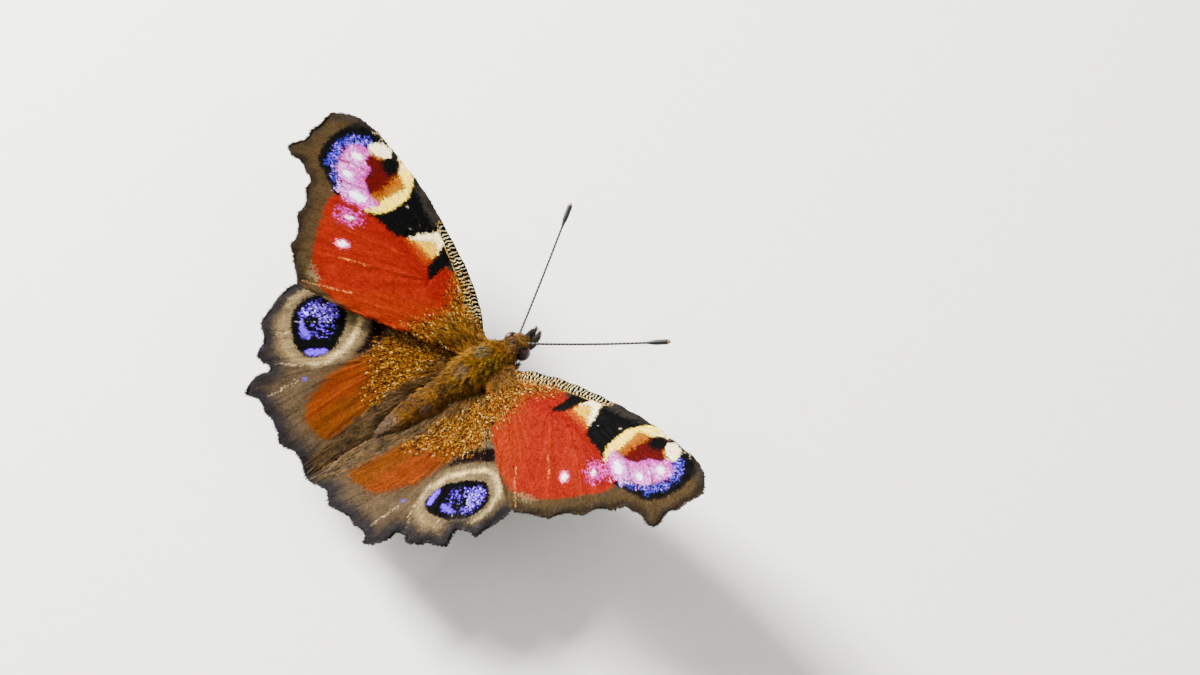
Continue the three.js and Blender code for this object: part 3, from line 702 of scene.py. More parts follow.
# What is drawn on the hindwing
HINDWING_MARKINGS = (
    Marking("basal_gold", "#663600", (
        (-2.0, 2.0), (4.0, 1.2), (6.0, -1.8), (6.2, -4.0), (5.9, -6.0), (5.5, -8.3), (3.0, -9.2), (1.0, -9.2),
        (-2.0, -8.0)), 0.8, 0.8, 0.5),
    Marking("rust", "#683100", (
        (1.0, -7.0), (0.9, -9.0), (0.7, -11.0), (0.5, -13.0), (0.25, -15.0), (0.4, -16.3), (1.5, -16.7),
        (3.0, -16.6), (4.2, -16.1), (4.9, -15.3), (5.3, -14.2), (5.6, -13.2), (6.0, -12.2), (6.0, -11.0),
        (5.9, -9.5), (5.8, -8.0), (5.5, -6.8), (4.0, -6.2), (2.0, -6.2)), 0.28, 0.3, 0.7),
    Marking("rust_bright", "#7A2D00", (
        (3.3, -8.8), (3.0, -11.0), (3.1, -13.5), (3.2, -16.2), (4.1, -15.9), (5.1, -14.3), (5.7, -12.4),
        (5.7, -10.2), (5.3, -8.8)), 0.4, 0.4, 0.6, 0.85),
    Marking("rust_streaks", "#3A1C04", (
        (0.2, -6.0), (0.3, -16.5), (5.0, -16.0), (6.4, -12.0), (6.2, -6.0)), 0.3, 0.6, 3.2, 0.38),
    Marking("ring_tan", "#6A593C", (
        (6.8, -10.6), (6.6, -9.4), (6.9, -8.0), (7.5, -6.8), (8.2, -5.7), (9.1, -4.9), (10.5, -4.5),
        (12.1, -4.7), (13.7, -5.6), (15.0, -7.0), (15.9, -8.6), (16.1, -10.0), (15.7, -11.8), (14.9, -13.4),
        (13.5, -14.6), (11.6, -15.0), (9.8, -14.8), (8.3, -13.8), (7.4, -12.4)), 0.55, 0.3, 0.3),
    Marking("ring_pale", "#E0C17E", (
        (7.5, -11.0), (7.4, -9.6), (7.8, -8.2), (8.4, -7.1), (9.1, -6.2), (10.1, -5.6), (11.4, -5.5),
        (12.8, -6.1), (14.0, -7.2), (14.8, -8.7), (15.0, -10.2), (14.6, -11.7)), 0.35, 0.25, 0.2, 0.95,
        Form.LINE, 0.2),
    Marking("ring_low", "#8A7248", (
        (14.6, -11.7), (13.7, -12.9), (12.3, -13.7), (10.5, -14.1), (9.0, -13.7), (8.0, -12.7), (7.5, -11.0)),
        0.4, 0.25, 0.3, 0.75, Form.LINE, 0.25),
    Marking("crescent_haze", "#55493A", (
        (4.9, -3.0), (6.1, -3.7), (7.4, -4.0)), 0.5, 0.5, 0.3, 0.8, Form.LINE, 0.35),
    Marking("crescent_dark", "#0A0000", (
        (7.5, -3.7), (8.7, -4.4), (8.3, -5.2), (7.7, -5.9), (7.1, -6.7), (6.7, -7.7), (6.4, -8.5),
        (6.05, -7.8), (6.0, -6.7), (6.2, -5.6), (6.7, -4.6)), 0.25, 0.4, 0.3),
    Marking("shield", "#000000", (
        (8.05, -10.8), (8.15, -9.7), (8.6, -9.0), (9.1, -8.1), (9.9, -7.3), (10.6, -6.8), (11.5, -6.7),
        (12.5, -7.1), (13.5, -7.7), (14.1, -8.6), (14.2, -9.8), (13.9, -10.9), (13.2, -11.8), (12.3, -12.5),
        (11.3, -12.9), (10.4, -13.2), (9.5, -13.1), (8.8, -12.8), (8.3, -12.0)), 0.1, 0.25),
    Marking("shield_blue", "#5A2CD0", (
        (10.9, -7.7), (11.6, -7.3), (12.4, -7.4), (13.0, -8.1), (13.4, -9.0), (13.5, -10.0), (13.1, -10.8),
        (12.5, -10.2), (12.1, -9.5), (11.6, -9.3), (11.0, -9.1), (10.7, -8.4)), 0.1, 0.7, bare=0.32),
    Marking("shield_specks", "#5A2CD0", (
        (9.7, -9.3), (10.6, -8.6), (11.4, -9.4), (11.0, -10.6), (10.3, -10.6), (9.8, -10.2)), 0.1, 1.1, 0.0,
        0.9, bare=0.66),
    Marking("shield_lobe", "#5A2CD0", (
        (10.4, -11.5), (10.9, -11.1), (11.7, -11.2), (12.5, -10.9), (12.2, -11.5), (11.4, -11.9),
        (10.8, -11.9)), 0.1, 0.4),
    Marking("shield_lens", "#6426E4", (
        (8.2, -10.7), (8.6, -10.9), (9.0, -11.6), (9.5, -12.3), (9.4, -12.8), (8.9, -12.6), (8.5, -12.0),
        (8.2, -11.3)), 0.08, 0.25),
    Marking("shield_pale", "#C8B8FF", (
        (10.7, -8.4), (11.2, -7.7), (12.0, -7.5), (12.9, -8.2), (13.4, -9.6), (13.0, -10.7), (12.2, -9.6),
        (11.2, -9.2)), 0.1, 0.6, 0.0, 0.7, bare=0.78),
    Marking("shield_scratch", "#B0A890", (
        (10.6, -8.7), (11.7, -10.2), (12.7, -11.7)), 0.05, 0.1, 0, 0.6, Form.LINE, 0.02),
    Marking("pale_vein_a", "#C8B48C", (
        (7.2, -11.2), (8.6, -14.1), (10.4, -16.2)), 0.06, 0.4, 0, 0.45, Form.LINE, 0.02),
    Marking("pale_vein_b", "#C8B48C", ((12.0, -12.6), (12.7, -14.1)), 0.06, 0.2, 0, 0.7, Form.LINE, 0.03),
    Marking("pale_vein_c", "#C8B48C", ((7.2, -15.1), (7.5, -19.1)), 0.06, 0.6, 0, 0.5, Form.LINE, 0.0),
    Marking("dark_vein", "#1E1408", ((4.7, -16.6), (4.6, -19.3)), 0.06, 0.3, 0, 0.7, Form.LINE, 0.05),
    Marking("violet_dot", "#59448C", oval((6.95, -14.3), (0.22, 0.2)), 0.1, 0.3),
    Marking("inner_fold", "#513D24", (
        (0.5, -5.5), (0.6, -9.0), (0.4, -12.0), (0.0, -15.0), (0.0, -17.0), (-0.4, -21.5), (-4.5, -21.5),
        (-4.5, -5.0)), 0.3, 0.3, 0.5),
    Marking("fold_line", "#241A0B", (
        (-0.9, -12.0), (-1.3, -15.0), (-1.6, -19.8)), 0.3, 0.3, 0.3, 0.8, Form.LINE, 0.3),
)


@dataclass(frozen=True)
class WingScales:
    """Upper wing face: tiny ribbed plates of pigmented chitin, laid like roof tiles.

    Depths, widths and pitches are in millimetres.
    """

    name: str
    ground: str
    cloud_shade: str
    field_vein: str
    markings: tuple[Marking, ...]
    rim_strength: float = 0.25
    edge_width: float = 0.9
    rim_scatter: float = 0.35
    streaking: float = 0.16
    bars: bool = False
    speckle_shades: tuple[str, str, str, str] = ("#120800", "#5E3000", "#8A600E", "#B89A58")
    edge_shade: str = "#221A10"
    vein_shade: str = "#281C0C"
    scale_pitch: float = 0.15
    speckle_pitch: float = 0.115
    streak_width: float = 0.4
    cloud_width: float = 1.6
    bar_pitch: float = 0.42
    bar_wander: float = 0.55
    dash_length: float = 0.3

    def build(self) -> bpy.types.Material:
        """Builds the finish.

        Returns:
            The material.
        """
        # The plates' ribs scatter light, so the face is matt and powdery, each plate of one flat colour
        work = Paintwork(self.name, self.ground, 0.7, 0.03)
        seen = {name: work.add("Attribute", attribute_name=name).outputs for name in (
            "wing_place", "flow", "vein", "rim", "speckle", "costa_along", "costa_off", "bar_strip",
            *(marking.name for marking in self.markings))}
        place = seen["wing_place"]["Vector"]
        value = {name: outputs["Fac"] for name, outputs in seen.items()}
        # A scale is about 0.1 mm wide; its shade and speckles are drawn a little coarser so that they show
        scale = work.add("TexVoronoi", {"Vector": place, "Scale": 1 / self.scale_pitch})
        chance = work.add("SeparateColor", {"Color": scale.outputs["Color"]}).outputs
        streaks = work.add("TexNoise", {
            "Vector": seen["flow"]["Vector"], "Scale": 1 / self.streak_width, "Detail": 2.0})
        cloud = work.add("TexNoise", {"Vector": place, "Scale": 1 / self.cloud_width, "Detail": 3.0})
        stray = work.add("Math", {0: chance[0], 1: 0.5}, operation="SUBTRACT")
        run = work.add("Math", {0: streaks, 1: 0.5}, operation="SUBTRACT")
        work.lay(self.cloud_shade, cloud, 0.35, 0.7, 0.3)
        work.lay(self.field_vein, value["vein"], 0.11, 0.03, 0.35)
        for marking in self.markings:
            moved = work.add("Math", {0: stray, 1: marking.scatter, 2: value[marking.name]},
                             operation="MULTIPLY_ADD")
            if marking.streak:
                moved = work.add("Math", {0: run, 1: 2 * marking.streak, 2: moved}, operation="MULTIPLY_ADD")
            kept = 1.0
            if marking.bare:
                kept = work.add("Math", {0: chance[2], 1: marking.bare}, operation="GREATER_THAN")
            work.lay(marking.tint, moved, -marking.edge, marking.edge, marking.strength, kept)
        near = work.add("Math", {0: stray, 1: self.rim_scatter, 2: value["rim"]}, operation="MULTIPLY_ADD")
        veined = work.add("MapRange", {0: value["vein"], 1: 0.2, 2: 0.05})
        work.lay(self.edge_shade, near, 2.4, 0.7, self.rim_strength)
        work.lay(self.vein_shade, near, 1.9, 0.4, 0.6, veined)
        work.lay(self.edge_shade, near, self.edge_width, 0.3 * self.edge_width, 0.9)
        if self.bars:
            self.bar_strip(work, value, place)
        self.speckles(work, value["speckle"], place)
        # Each scale is a little lighter or darker than its neighbours
        shade = work.add("MapRange", {0: chance[1], 3: 0.72, 4: 1.3})
        line = work.add("MapRange", {
            0: streaks, 1: 0.3, 2: 0.7, 3: 1 - self.streaking, 4: 1 + self.streaking})
        both = work.add("Math", {0: shade, 1: line}, operation="MULTIPLY")
        work.tint = work.add("HueSaturation", {"Value": both, "Color": work.tint}).outputs[0]
        return work.close(scale.outputs["Distance"])

    def bar_strip(self, work: Paintwork, value: dict[str, Any], place: Any) -> None:
        """Draws the black and cream bars along the leading edge.

        Args:
            work: The finish so far.
            value: The wing's measures by name.
            place: Place on the wing.
        """
        along, off = value["costa_along"], value["costa_off"]
        wobble = work.add("TexNoise", {"Vector": place, "Scale": 1 / self.bar_wander, "Detail": 1.0})
        shifted = work.add("Math", {0: wobble, 1: 0.5, 2: along}, operation="MULTIPLY_ADD")
        slanted = work.add("Math", {0: off, 1: -0.22, 2: shifted}, operation="MULTIPLY_ADD")
        # The bars skip part of a step where they cross the second vein
        skip = work.add("MapRange", {0: off, 1: 0.62, 2: 0.7, 4: 0.15})
        skipped = work.add("Math", {0: slanted, 1: skip}, operation="ADD")
        # Bars lie 0.37 mm apart; drawn at 0.42 so that they show
        turned = work.add("Math", {0: skipped, 1: math.tau / self.bar_pitch}, operation="MULTIPLY")
        wave = work.add("Math", {0: turned}, operation="SINE")
        warm = work.add("MapRange", {0: along, 1: 3.0, 2: 0.8, 4: 0.6})
        cream = work.add("Mix", {0: warm, 6: colour("#B8A674"), 7: colour("#7A5208")}, data_type="RGBA")
        strip = value["bar_strip"]
        within = work.add("MapRange", {0: strip, 1: 0.0, 2: 0.08})
        clear = work.add("MapRange", {0: off, 1: 0.04, 2: 0.12})
        room = work.add("Math", {0: within, 1: clear}, operation="MULTIPLY")
        work.lay("#000000", strip, -0.08, 0.02)
        work.lay(cream.outputs[2], wave, 0.4, 0.85, 1.0, room)
        # The pale vein under the bars, broken by brown scales
        hem = work.add("Math", {0: strip, 1: -0.1, 2: 0.07}, operation="COMPARE")
        dashes = work.add("TexNoise", {"Vector": place, "Scale": 1 / self.dash_length, "Detail": 1.0})
        work.lay("#95782D", dashes, 0.42, 0.5, 0.8, hem)

    def speckles(self, work: Paintwork, thickly: Any, place: Any) -> None:
        """Scatters dark, brown, gold and cream scales over the base of the wing.

        Args:
            work: The finish so far.
            thickly: How thickly they lie, from 0 to 1.
            place: Place on the wing.
        """
        cell = work.add("TexVoronoi", {"Vector": place, "Scale": 1 / self.speckle_pitch})
        pick = work.add("SeparateColor", {"Color": cell.outputs["Color"]}).outputs
        ramp = work.add("ValToRGB", {"Fac": pick[1]})
        ramp.color_ramp.interpolation = "CONSTANT"
        stops = ramp.color_ramp.elements
        stops.remove(stops[-1])
        for start, shade in zip((0.0, 0.4, 0.72, 0.95), self.speckle_shades):
            stop = stops.new(start) if start else stops[0]
            stop.color = colour(shade)
        cover = work.add("Math", {0: thickly, 1: pick[0]}, operation="SUBTRACT")
        work.lay(ramp.outputs[0], cover, -0.02, 0.06, 0.92)


@dataclass(frozen=True)
class UnderScales:
    """Lower wing face: the same ribbed plates, blackish brown in fine wavy cross lines.

    Pitches and widths are in millimetres.
    """

    name: str = "blackish_under_scales"
    scale_pitch: float = 0.15
    line_pitch: float = 0.748
    blotch_width: float = 3.5

    def build(self) -> bpy.types.Material:
        """Builds the finish.

        Returns:
            The material.
        """
        # Matt and almost black, like charred bark, so that the closed butterfly looks like a dead leaf
        work = Paintwork(self.name, "#1C1512", 0.7, 0.1)
        place = work.add("Attribute", attribute_name="wing_place").outputs["Vector"]
        rim, vein = (work.add("Attribute", attribute_name=name).outputs["Fac"] for name in ("rim", "vein"))
        # The cross lines lie 0.75 mm apart, and a wave of scale 1 runs through 20 radians in each millimetre
        lines = work.add("TexWave", {
            "Vector": place, "Scale": math.tau / 20 / self.line_pitch, "Distortion": 9.0, "Detail": 4.0,
            "Detail Scale": 1.6}, wave_type="RINGS", rings_direction="Z")
        blotch = work.add("TexNoise", {"Vector": place, "Scale": 1 / self.blotch_width, "Detail": 4.0})
        # A scale is about 0.1 mm wide; drawn at 0.15 so that it shows
        scale = work.add("TexVoronoi", {"Vector": place, "Scale": 1 / self.scale_pitch})
        work.lay("#3C3028", lines.outputs["Fac"], 0.45, 0.9, 0.75)
        work.lay("#0F0B0A", blotch, 0.5, 0.68, 0.6)
        work.lay("#4C3F34", rim, 3.6, 2.9, 0.5)
        work.lay("#1A1412", rim, 0.9, 0.5, 0.8)
        work.lay("#0E0A08", vein, 0.14, 0.05, 0.6)
        return work.close(scale.outputs["Distance"])


@dataclass(frozen=True)
class Dab:
    """A soft patch of another colour in a coat, by its place on the animal. Most are tints of the hair; on
    the trunk, some are painted shade and painted sheen.
    """

    centre: Triple
    radius: float
    tint: str
    strength: float = 0.8


@dataclass(frozen=True)
class HairCoat:
    """Hair-like scales: long thin chitin, grown in locks. Widths are in millimetres."""

    name: str
    dark: str
    light: str
    tips: str
    dabs: tuple[Dab, ...] = ()
    below: str = "#20160E"
    clump_width: float = 1.3
    strand_width: float = 0.3

    def build(self) -> bpy.types.Material:
        """Builds the finish.

        Returns:
            The material.
        """
        # Soft, with next to no shine: dark at the roots, light at the tips, and each lock a shade of its own
        work = Paintwork(self.name, self.dark, 0.6, 0.12)
        tone = work.add("Attribute", attribute_name="tone").outputs["Fac"]
        blade = work.add("Attribute", attribute_name="blade").outputs["Vector"]
        facing = work.add("Attribute", attribute_name="facing").outputs["Vector"]
        up_blade = work.add("SeparateXYZ", {0: blade}).outputs[1]
        place = work.add("TexCoord").outputs["Object"]
        # Locks are about 1.3 mm wide. A hair is 0.02 mm wide; its shade is drawn at 0.3 so that it shows.
        clumps = work.add("TexNoise", {"Vector": place, "Scale": 1 / (self.clump_width * MM), "Detail": 2.0})
        fine = work.add("TexNoise", {"Vector": place, "Scale": 1 / (self.strand_width * MM), "Detail": 1.0})
        mixed = work.add("Math", {0: tone, 1: 0.22, 2: clumps}, operation="MULTIPLY_ADD")
        work.lay(self.light, mixed, 0.28, 0.72)
        for dab in self.dabs:
            radius = dab.radius * MM
            centre = ORIGIN + Vector(dab.centre) * MM
            apart = work.add("VectorMath", {0: place, 1: centre}, operation="DISTANCE").outputs["Value"]
            ragged = work.add("Math", {0: tone, 1: 0.18 * radius, 2: apart}, operation="MULTIPLY_ADD")
            work.lay(dab.tint, ragged, 1.25 * radius, 0.5 * radius, dab.strength)
        work.lay(self.tips, up_blade, 0.45, 1.0, 0.55)
        work.lay("#140C06", up_blade, 0.3, 0.0, 0.55)
        work.lay(self.below, work.add("SeparateXYZ", {0: facing}).outputs[2], 0.1, -0.6, 0.85)
        shade = work.add("MapRange", {0: tone, 1: -1.0, 2: 1.0, 3: 1.3, 4: 2.8})
        both = work.add("Math", {0: shade, 1: fine}, operation="MULTIPLY")
        work.tint = work.add("HueSaturation", {"Value": both, "Color": work.tint}).outputs[0]
        return work.close()


@dataclass(frozen=True)
class Cuticle:
    """Bare insect shell: chitin tanned hard and brown, under a thin bloom of flat scales.

    Grain and cloud width are in millimetres.
    """

    name: str
    dark: str
    light: str
    roughness: float = 0.42
    grain: float = 0.16
    cloud_width: float = 0.6

    def build(self) -> bpy.types.Material:
        """Builds the finish.

        Returns:
            The material.
        """
        # Satin, with a soft highlight broken by the plates of the bloom
        work = Paintwork(self.name, self.dark, self.roughness, 0.3)
        place = work.add("TexCoord").outputs["Object"]
        # The plates are about 0.1 mm wide; drawn at 0.16 so that they show
        plates = work.add("TexVoronoi", {"Vector": place, "Scale": 1 / (self.grain * MM)})
        cloud = work.add("TexNoise", {"Vector": place, "Scale": 1 / (self.cloud_width * MM), "Detail": 4.0})
        pick = work.add("SeparateColor", {"Color": plates.outputs["Color"]}).outputs[0]
        mixed = work.add("Math", {0: pick, 1: 0.45, 2: cloud}, operation="MULTIPLY_ADD")
        work.lay(self.light, mixed, 0.5, 0.95)
        return work.close(plates.outputs["Distance"], 0.4, 0.04)


@dataclass(frozen=True)
class FeelerRings:
    """Feeler: black chitin segments, each with a pale ring of scales, and a bare club with a pale tip."""

    name: str = "ringed_feeler_scales"
    segment: float = 0.42
    length: float = 15.0
    club: float = 2.3
    shade_run: float = 0.9
    pale_tip: float = 0.3
    fleck_width: float = 0.12

    def build(self) -> bpy.types.Material:
        """Builds the finish.

        Returns:
            The material.
        """
        # Nearly matt, so that the rings read as fine grey flecks and the club as a dark bead
        work = Paintwork(self.name, "#14110E", 0.55, 0.3)
        along = work.add("Attribute", attribute_name="along").outputs["Fac"]
        place = work.add("TexCoord").outputs["Object"]
        # A segment is about 0.4 mm long
        steps = work.add("Math", {0: along, 1: 1 / self.segment}, operation="MULTIPLY")
        share = work.add("Math", {0: steps}, operation="FRACT")
        fleck = work.add("TexNoise", {"Vector": place, "Scale": 1 / (self.fleck_width * MM), "Detail": 2.0})
        ragged = work.add("Math", {0: fleck, 1: 0.5, 2: share}, operation="MULTIPLY_ADD")
        work.lay("#554E40", ragged, 0.8, 1.0, 0.8)
        club_start, tip_start = self.length - self.club, self.length - self.pale_tip
        work.lay("#0E0C0B", along, club_start - self.shade_run, club_start)
        work.lay("#8A6436", along, tip_start - 0.04, tip_start + 0.04)
        return work.close(fleck, 0.4, 0.02)


@dataclass(frozen=True)
class CompoundEye:
    """Compound eye: thousands of clear lenses over dark pigment."""

    name: str = "compound_eye_lenses"
    facet: float = 0.055
    band_width: float = 0.7

    def build(self) -> bpy.types.Material:
        """Builds the finish.

        Returns:
            The material.
        """
        # Dark and deep, with one broad soft highlight that the lenses break up
        work = Paintwork(self.name, "#140804", 0.38, 0.16)
        work.shader.inputs["Coat Weight"].default_value = 0.05
        work.shader.inputs["Coat Roughness"].default_value = 0.2
        place = work.add("TexCoord").outputs["Object"]
        # The real lenses are 0.03 mm wide; drawn nearly twice as coarse so that they show
        lenses = work.add("TexVoronoi", {
            "Vector": place, "Scale": 1 / (self.facet * MM), "Randomness": 0.35}).outputs["Distance"]
        bands = work.add("TexNoise", {"Vector": place, "Scale": 1 / (self.band_width * MM), "Detail": 1.0})
        work.lay("#3E1C0A", bands, 0.42, 0.62, 0.8)
        work.lay("#080403", lenses, 0.35, 0.6, 0.4)
        domes = work.add("Math", {0: 1.0, 1: lenses}, operation="SUBTRACT")
        return work.close(domes, 0.35, 0.02)


@dataclass(frozen=True)
class Backdrop:
    """Matt board, pressed from pale pulp."""

    name: str = "matt_board"
    tint: str = "#E9E7E1"
    tooth_width: float = 1.5

    def build(self) -> bpy.types.Material:
        """Builds the finish.

        Returns:
            The material.
        """
        # Pale and even, with the faint tooth of paper and no shine, so that shadows stay soft
        work = Paintwork(self.name, self.tint, 0.85, 0.5, 1.5)
        place = work.add("TexCoord").outputs["Object"]
        # The tooth of such board is about 0.3 mm; drawn at 1.5 so that it shows
        tooth = work.add("TexNoise", {"Vector": place, "Scale": 1 / (self.tooth_width * MM), "Detail": 4.0})
        work.lay("#E1DED7", tooth, 0.4, 0.7, 0.25)
        return work.close()


# Coats of scales and hair


@dataclass(frozen=True)
class Shield:
    """One wing scale: a thin closed shield, 1 long, by its half widths and where it is widest."""

    foot: float = 0.14
    half_width: float = 0.31
    widest: float = 0.55
    tip: float = 0.2
    end: float = 0.98
    thickness: float = 0.09

    def shape(self, rng: np.random.Generator) -> tuple[np.ndarray, list, np.ndarray]:
        """Shapes the scale.

        Args:
            rng: The coat's source of chance, which a scale makes no use of.

        Returns:
            Its places, its faces and its own coordinates.
        """
        half = ((self.foot, 0.0), (self.half_width, self.widest), (self.tip, self.end))
        rim = [(x, y, 0.0) for x, y in half] + [(-x, y, 0.0) for x, y in half[::-1]]
        faces = [(k, (k + 1) % 6, 6) for k in range(6)] + [(3, 2, 1, 4), (4, 1, 0, 5)]
        places = np.array([*rim, (0.0, self.widest, self.thickness)])
        return places, faces, np.column_stack([places[:, 0] + 0.5, places[:, 1], np.zeros(7)])


@dataclass(frozen=True)
class Lock:
    """A lock of tapered three-sided hairs, 1 long, that bow down towards their tips.

    Width and spread are in millimetres, droop, shortest and taper are shares, and wander is in radians.
    """

    count: int
    width: float
    spread: float
    droop: float
    steps: int
    wander: float = 0.16
    shortest: float = 0.72
    taper: float = 0.55
    ridge: float = 0.7

    def shape(self, rng: np.random.Generator) -> tuple[np.ndarray, list, np.ndarray]:
        """Shapes the lock.

        Args:
            rng: The coat's source of chance.

        Returns:
            Its places, its faces and its own coordinates.
        """
        places, faces, own = [], [], []
        for _ in range(self.count):
            yaw, size = rng.normal(0, self.wander), rng.uniform(self.shortest, 1.0)
            x, y = rng.uniform(-self.spread, self.spread, 2)
            first = len(places)
            for t in np.arange(self.steps + 1) / self.steps:
                half, run = 0.5 * self.width * (1 - self.taper * t**2), size * t
                middle = np.array([x + run * math.sin(yaw), y + run * math.cos(yaw), -self.droop * run * t])
                ring = ((-half, 0.0), (half, 0.0), (0.0, self.ridge * half)) if t < 1 else ((0.0, 0.0),)
                for dx, dz in ring:
                    places.append(middle + np.array([dx, 0.0, dz]))
                    own.append((0.5 + dx / self.width, t, 0.0))
            top = first + 3 * (self.steps - 1)
            for i in range(3):
                j = (i + 1) % 3
                faces += [(a + j, a + i, a + i + 3, a + j + 3) for a in range(first, top, 3)]
                faces.append((top + j, top + i, top + 3))
            faces.append((first, first + 1, first + 2))
        return np.array(places), faces, np.array(own)


class Blade(Enum):
    """The member that a coat repeats."""

    SCALE = Shield()
    HAIR = Lock(count=4, width=0.05, spread=0.1, droop=0.16, steps=3)
    LONG_HAIR = Lock(count=3, width=0.045, spread=0.14, droop=0.12, steps=4)
    FRINGE = Lock(count=2, width=0.13, spread=0.03, droop=0.05, steps=2)


class Seat(Enum):
    """Where the members of a coat grow: all over the faces of a skin, or on each of its points."""

    FACES = "faces"
    POINTS = "points"


@dataclass(frozen=True)
class Coat:
    """A coat that grows on a skin: its member, how close they stand, how long they are and how they lie.

    Lengths are in millimetres and angles in degrees. The skin has the vectors "facing", "lie" and
    "unwrap", and a number for how thickly the coat covers it and how far its members reach.
    """

    name: str
    blade: Blade
    cover: str
    spacing: float
    length: Pair
    lean: Pair
    wander: float
    seed: int
    reach: str = "reach"
    seat: Seat = Seat.FACES
    variants: int = 3

    def members(self, material: bpy.types.Material) -> bpy.types.Collection:
        """Makes the few member shapes that the coat repeats.

        Args:
            material: The coat's finish.

        Returns:
            The collection that holds them.
        """
        collection = bpy.data.collections.new(f"{self.name}_members")
        rng = np.random.default_rng(self.seed)
        for number in range(self.variants):
            places, faces, own = self.blade.value.shape(rng)
            mesh = build_mesh(f"{self.name}_member_{number}", places, faces)
            give(mesh, "blade", own)
            mesh.materials.append(material)
            collection.objects.link(bpy.data.objects.new(mesh.name, mesh))
        return collection

    def sizes(self) -> dict[str, float]:
        """Gives the sizes that the coat's node tree takes.

        Returns:
            Millimetres and radians, by the tree's input.
        """
        least, most = (math.radians(angle) for angle in self.lean)
        return {"Spacing": self.spacing, "Shortest": self.length[0], "Longest": self.length[1],
                "Least lean": least, "Most lean": most, "Wander": math.radians(self.wander)}

    def tree(self, members: bpy.types.Collection, material: bpy.types.Material) -> bpy.types.NodeTree:
        """Builds the node tree that grows the coat.

        Args:
            members: The member shapes.
            material: The coat's finish.

        Returns:
            The tree, with its sizes as named inputs.
        """
        tree = bpy.data.node_groups.new(self.name, "GeometryNodeTree")
        for name, kind in {"Skin": "Geometry", **dict.fromkeys(self.sizes(), "Float"), "Seed": "Int"}.items():
            tree.interface.new_socket(name, in_out="INPUT", socket_type=f"NodeSocket{kind}")
        tree.interface.new_socket("Coat", in_out="OUTPUT", socket_type="NodeSocketGeometry")
        size = add_node(tree, "NodeGroupInput").outputs
        seen = {}
        for name in (self.cover, self.reach, "facing", "lie", "blade", "unwrap"):
            kind = "FLOAT" if name in (self.cover, self.reach) else "FLOAT_VECTOR"
            seen[name] = add_node(tree, "GeometryNodeInputNamedAttribute", {"Name": name}, data_type=kind)
        back = add_node(tree, "ShaderNodeMath", {0: size["Wander"], 1: -1.0}, operation="MULTIPLY")
        # Each draw adds a number of its own to the seed
        drawn = {}
        for name, low, high, salt in (
                ("lean", size["Least lean"], size["Most lean"], 11), ("turn", back, size["Wander"], 12),
                ("length", size["Shortest"], size["Longest"], 13), ("tone", -1.0, 1.0, 15)):
            seed = add_node(tree, "FunctionNodeIntegerMath", {0: size["Seed"], 1: salt})
            value = add_node(tree, "FunctionNodeRandomValue", {2: low, 3: high, 8: seed}, data_type="FLOAT")
            drawn[name] = value.outputs[1]
        # Where the members stand
        if self.seat is Seat.FACES:
            densest = add_node(tree, "ShaderNodeMath", {0: size["Spacing"], 1: -2.0}, operation="POWER")
            points = add_node(tree, "GeometryNodeDistributePointsOnFaces", {
                "Mesh": size["Skin"], "Distance Min": size["Spacing"], "Density Max": densest,
                "Density Factor": seen[self.cover], "Seed": size["Seed"]}, distribute_method="POISSON")
        else:
            points = add_node(tree, "GeometryNodeMeshToPoints", {"Mesh": size["Skin"]})
        # How they are turned and how long they are
        stand = add_node(tree, "FunctionNodeAlignRotationToVector", {"Vector": seen["facing"]}, axis="Z")
        turned = add_node(tree, "FunctionNodeAlignRotationToVector", {
            "Rotation": stand, "Vector": seen["lie"]}, axis="Y", pivot_axis="Z")
        tilt = add_node(tree, "ShaderNodeCombineXYZ", {0: drawn["lean"], 2: drawn["turn"]})
        tilt = add_node(tree, "FunctionNodeEulerToRotation", {0: tilt})
        leant = add_node(tree, "FunctionNodeRotateRotation", {0: turned, 1: tilt}, rotation_space="LOCAL")
        length = add_node(tree, "ShaderNodeMath", {
            0: drawn["length"], 1: seen[self.reach]}, operation="MULTIPLY")
        wide = length if self.blade is Blade.SCALE else 1.0
        scale = add_node(tree, "ShaderNodeCombineXYZ", {0: wide, 1: length, 2: length})
        # The members themselves, each with a tone of its own
        shapes = add_node(tree, "GeometryNodeCollectionInfo", {
            "Collection": members, "Separate Children": True, "Reset Children": True})
        pick = add_node(tree, "FunctionNodeRandomValue", {
            4: 0, 5: self.variants - 1, 8: 14 + self.seed}, data_type="INT")
        grown = add_node(tree, "GeometryNodeInstanceOnPoints", {
            "Points": points, "Instance": shapes, "Pick Instance": True, "Instance Index": pick.outputs[2],
            "Rotation": leant, "Scale": scale})
        toned = add_node(tree, "GeometryNodeStoreNamedAttribute", {
            "Geometry": grown, "Name": "tone", "Value": drawn["tone"]}, data_type="FLOAT", domain="INSTANCE")
        real = add_node(tree, "GeometryNodeRealizeInstances", {0: toned})
        # Each member is a small patch on the map, at the place where its root stands
        inner = add_node(tree, "ShaderNodeVectorMath", {
            0: seen["blade"], 1: (0.5, 0.5, 0.0)}, operation="SUBTRACT")
        patch = add_node(tree, "ShaderNodeVectorMath", {
            0: inner, 1: (PATCH, PATCH, 0.0), 2: seen["unwrap"]}, operation="MULTIPLY_ADD")
        mapped = add_node(tree, "GeometryNodeStoreNamedAttribute", {
            "Geometry": real, "Name": "OFBake", "Value": patch}, data_type="FLOAT2", domain="CORNER")
        dressed = add_node(tree, "GeometryNodeSetMaterial", {"Geometry": mapped, "Material": material})
        add_node(tree, "NodeGroupOutput", {0: dressed})
        return tree

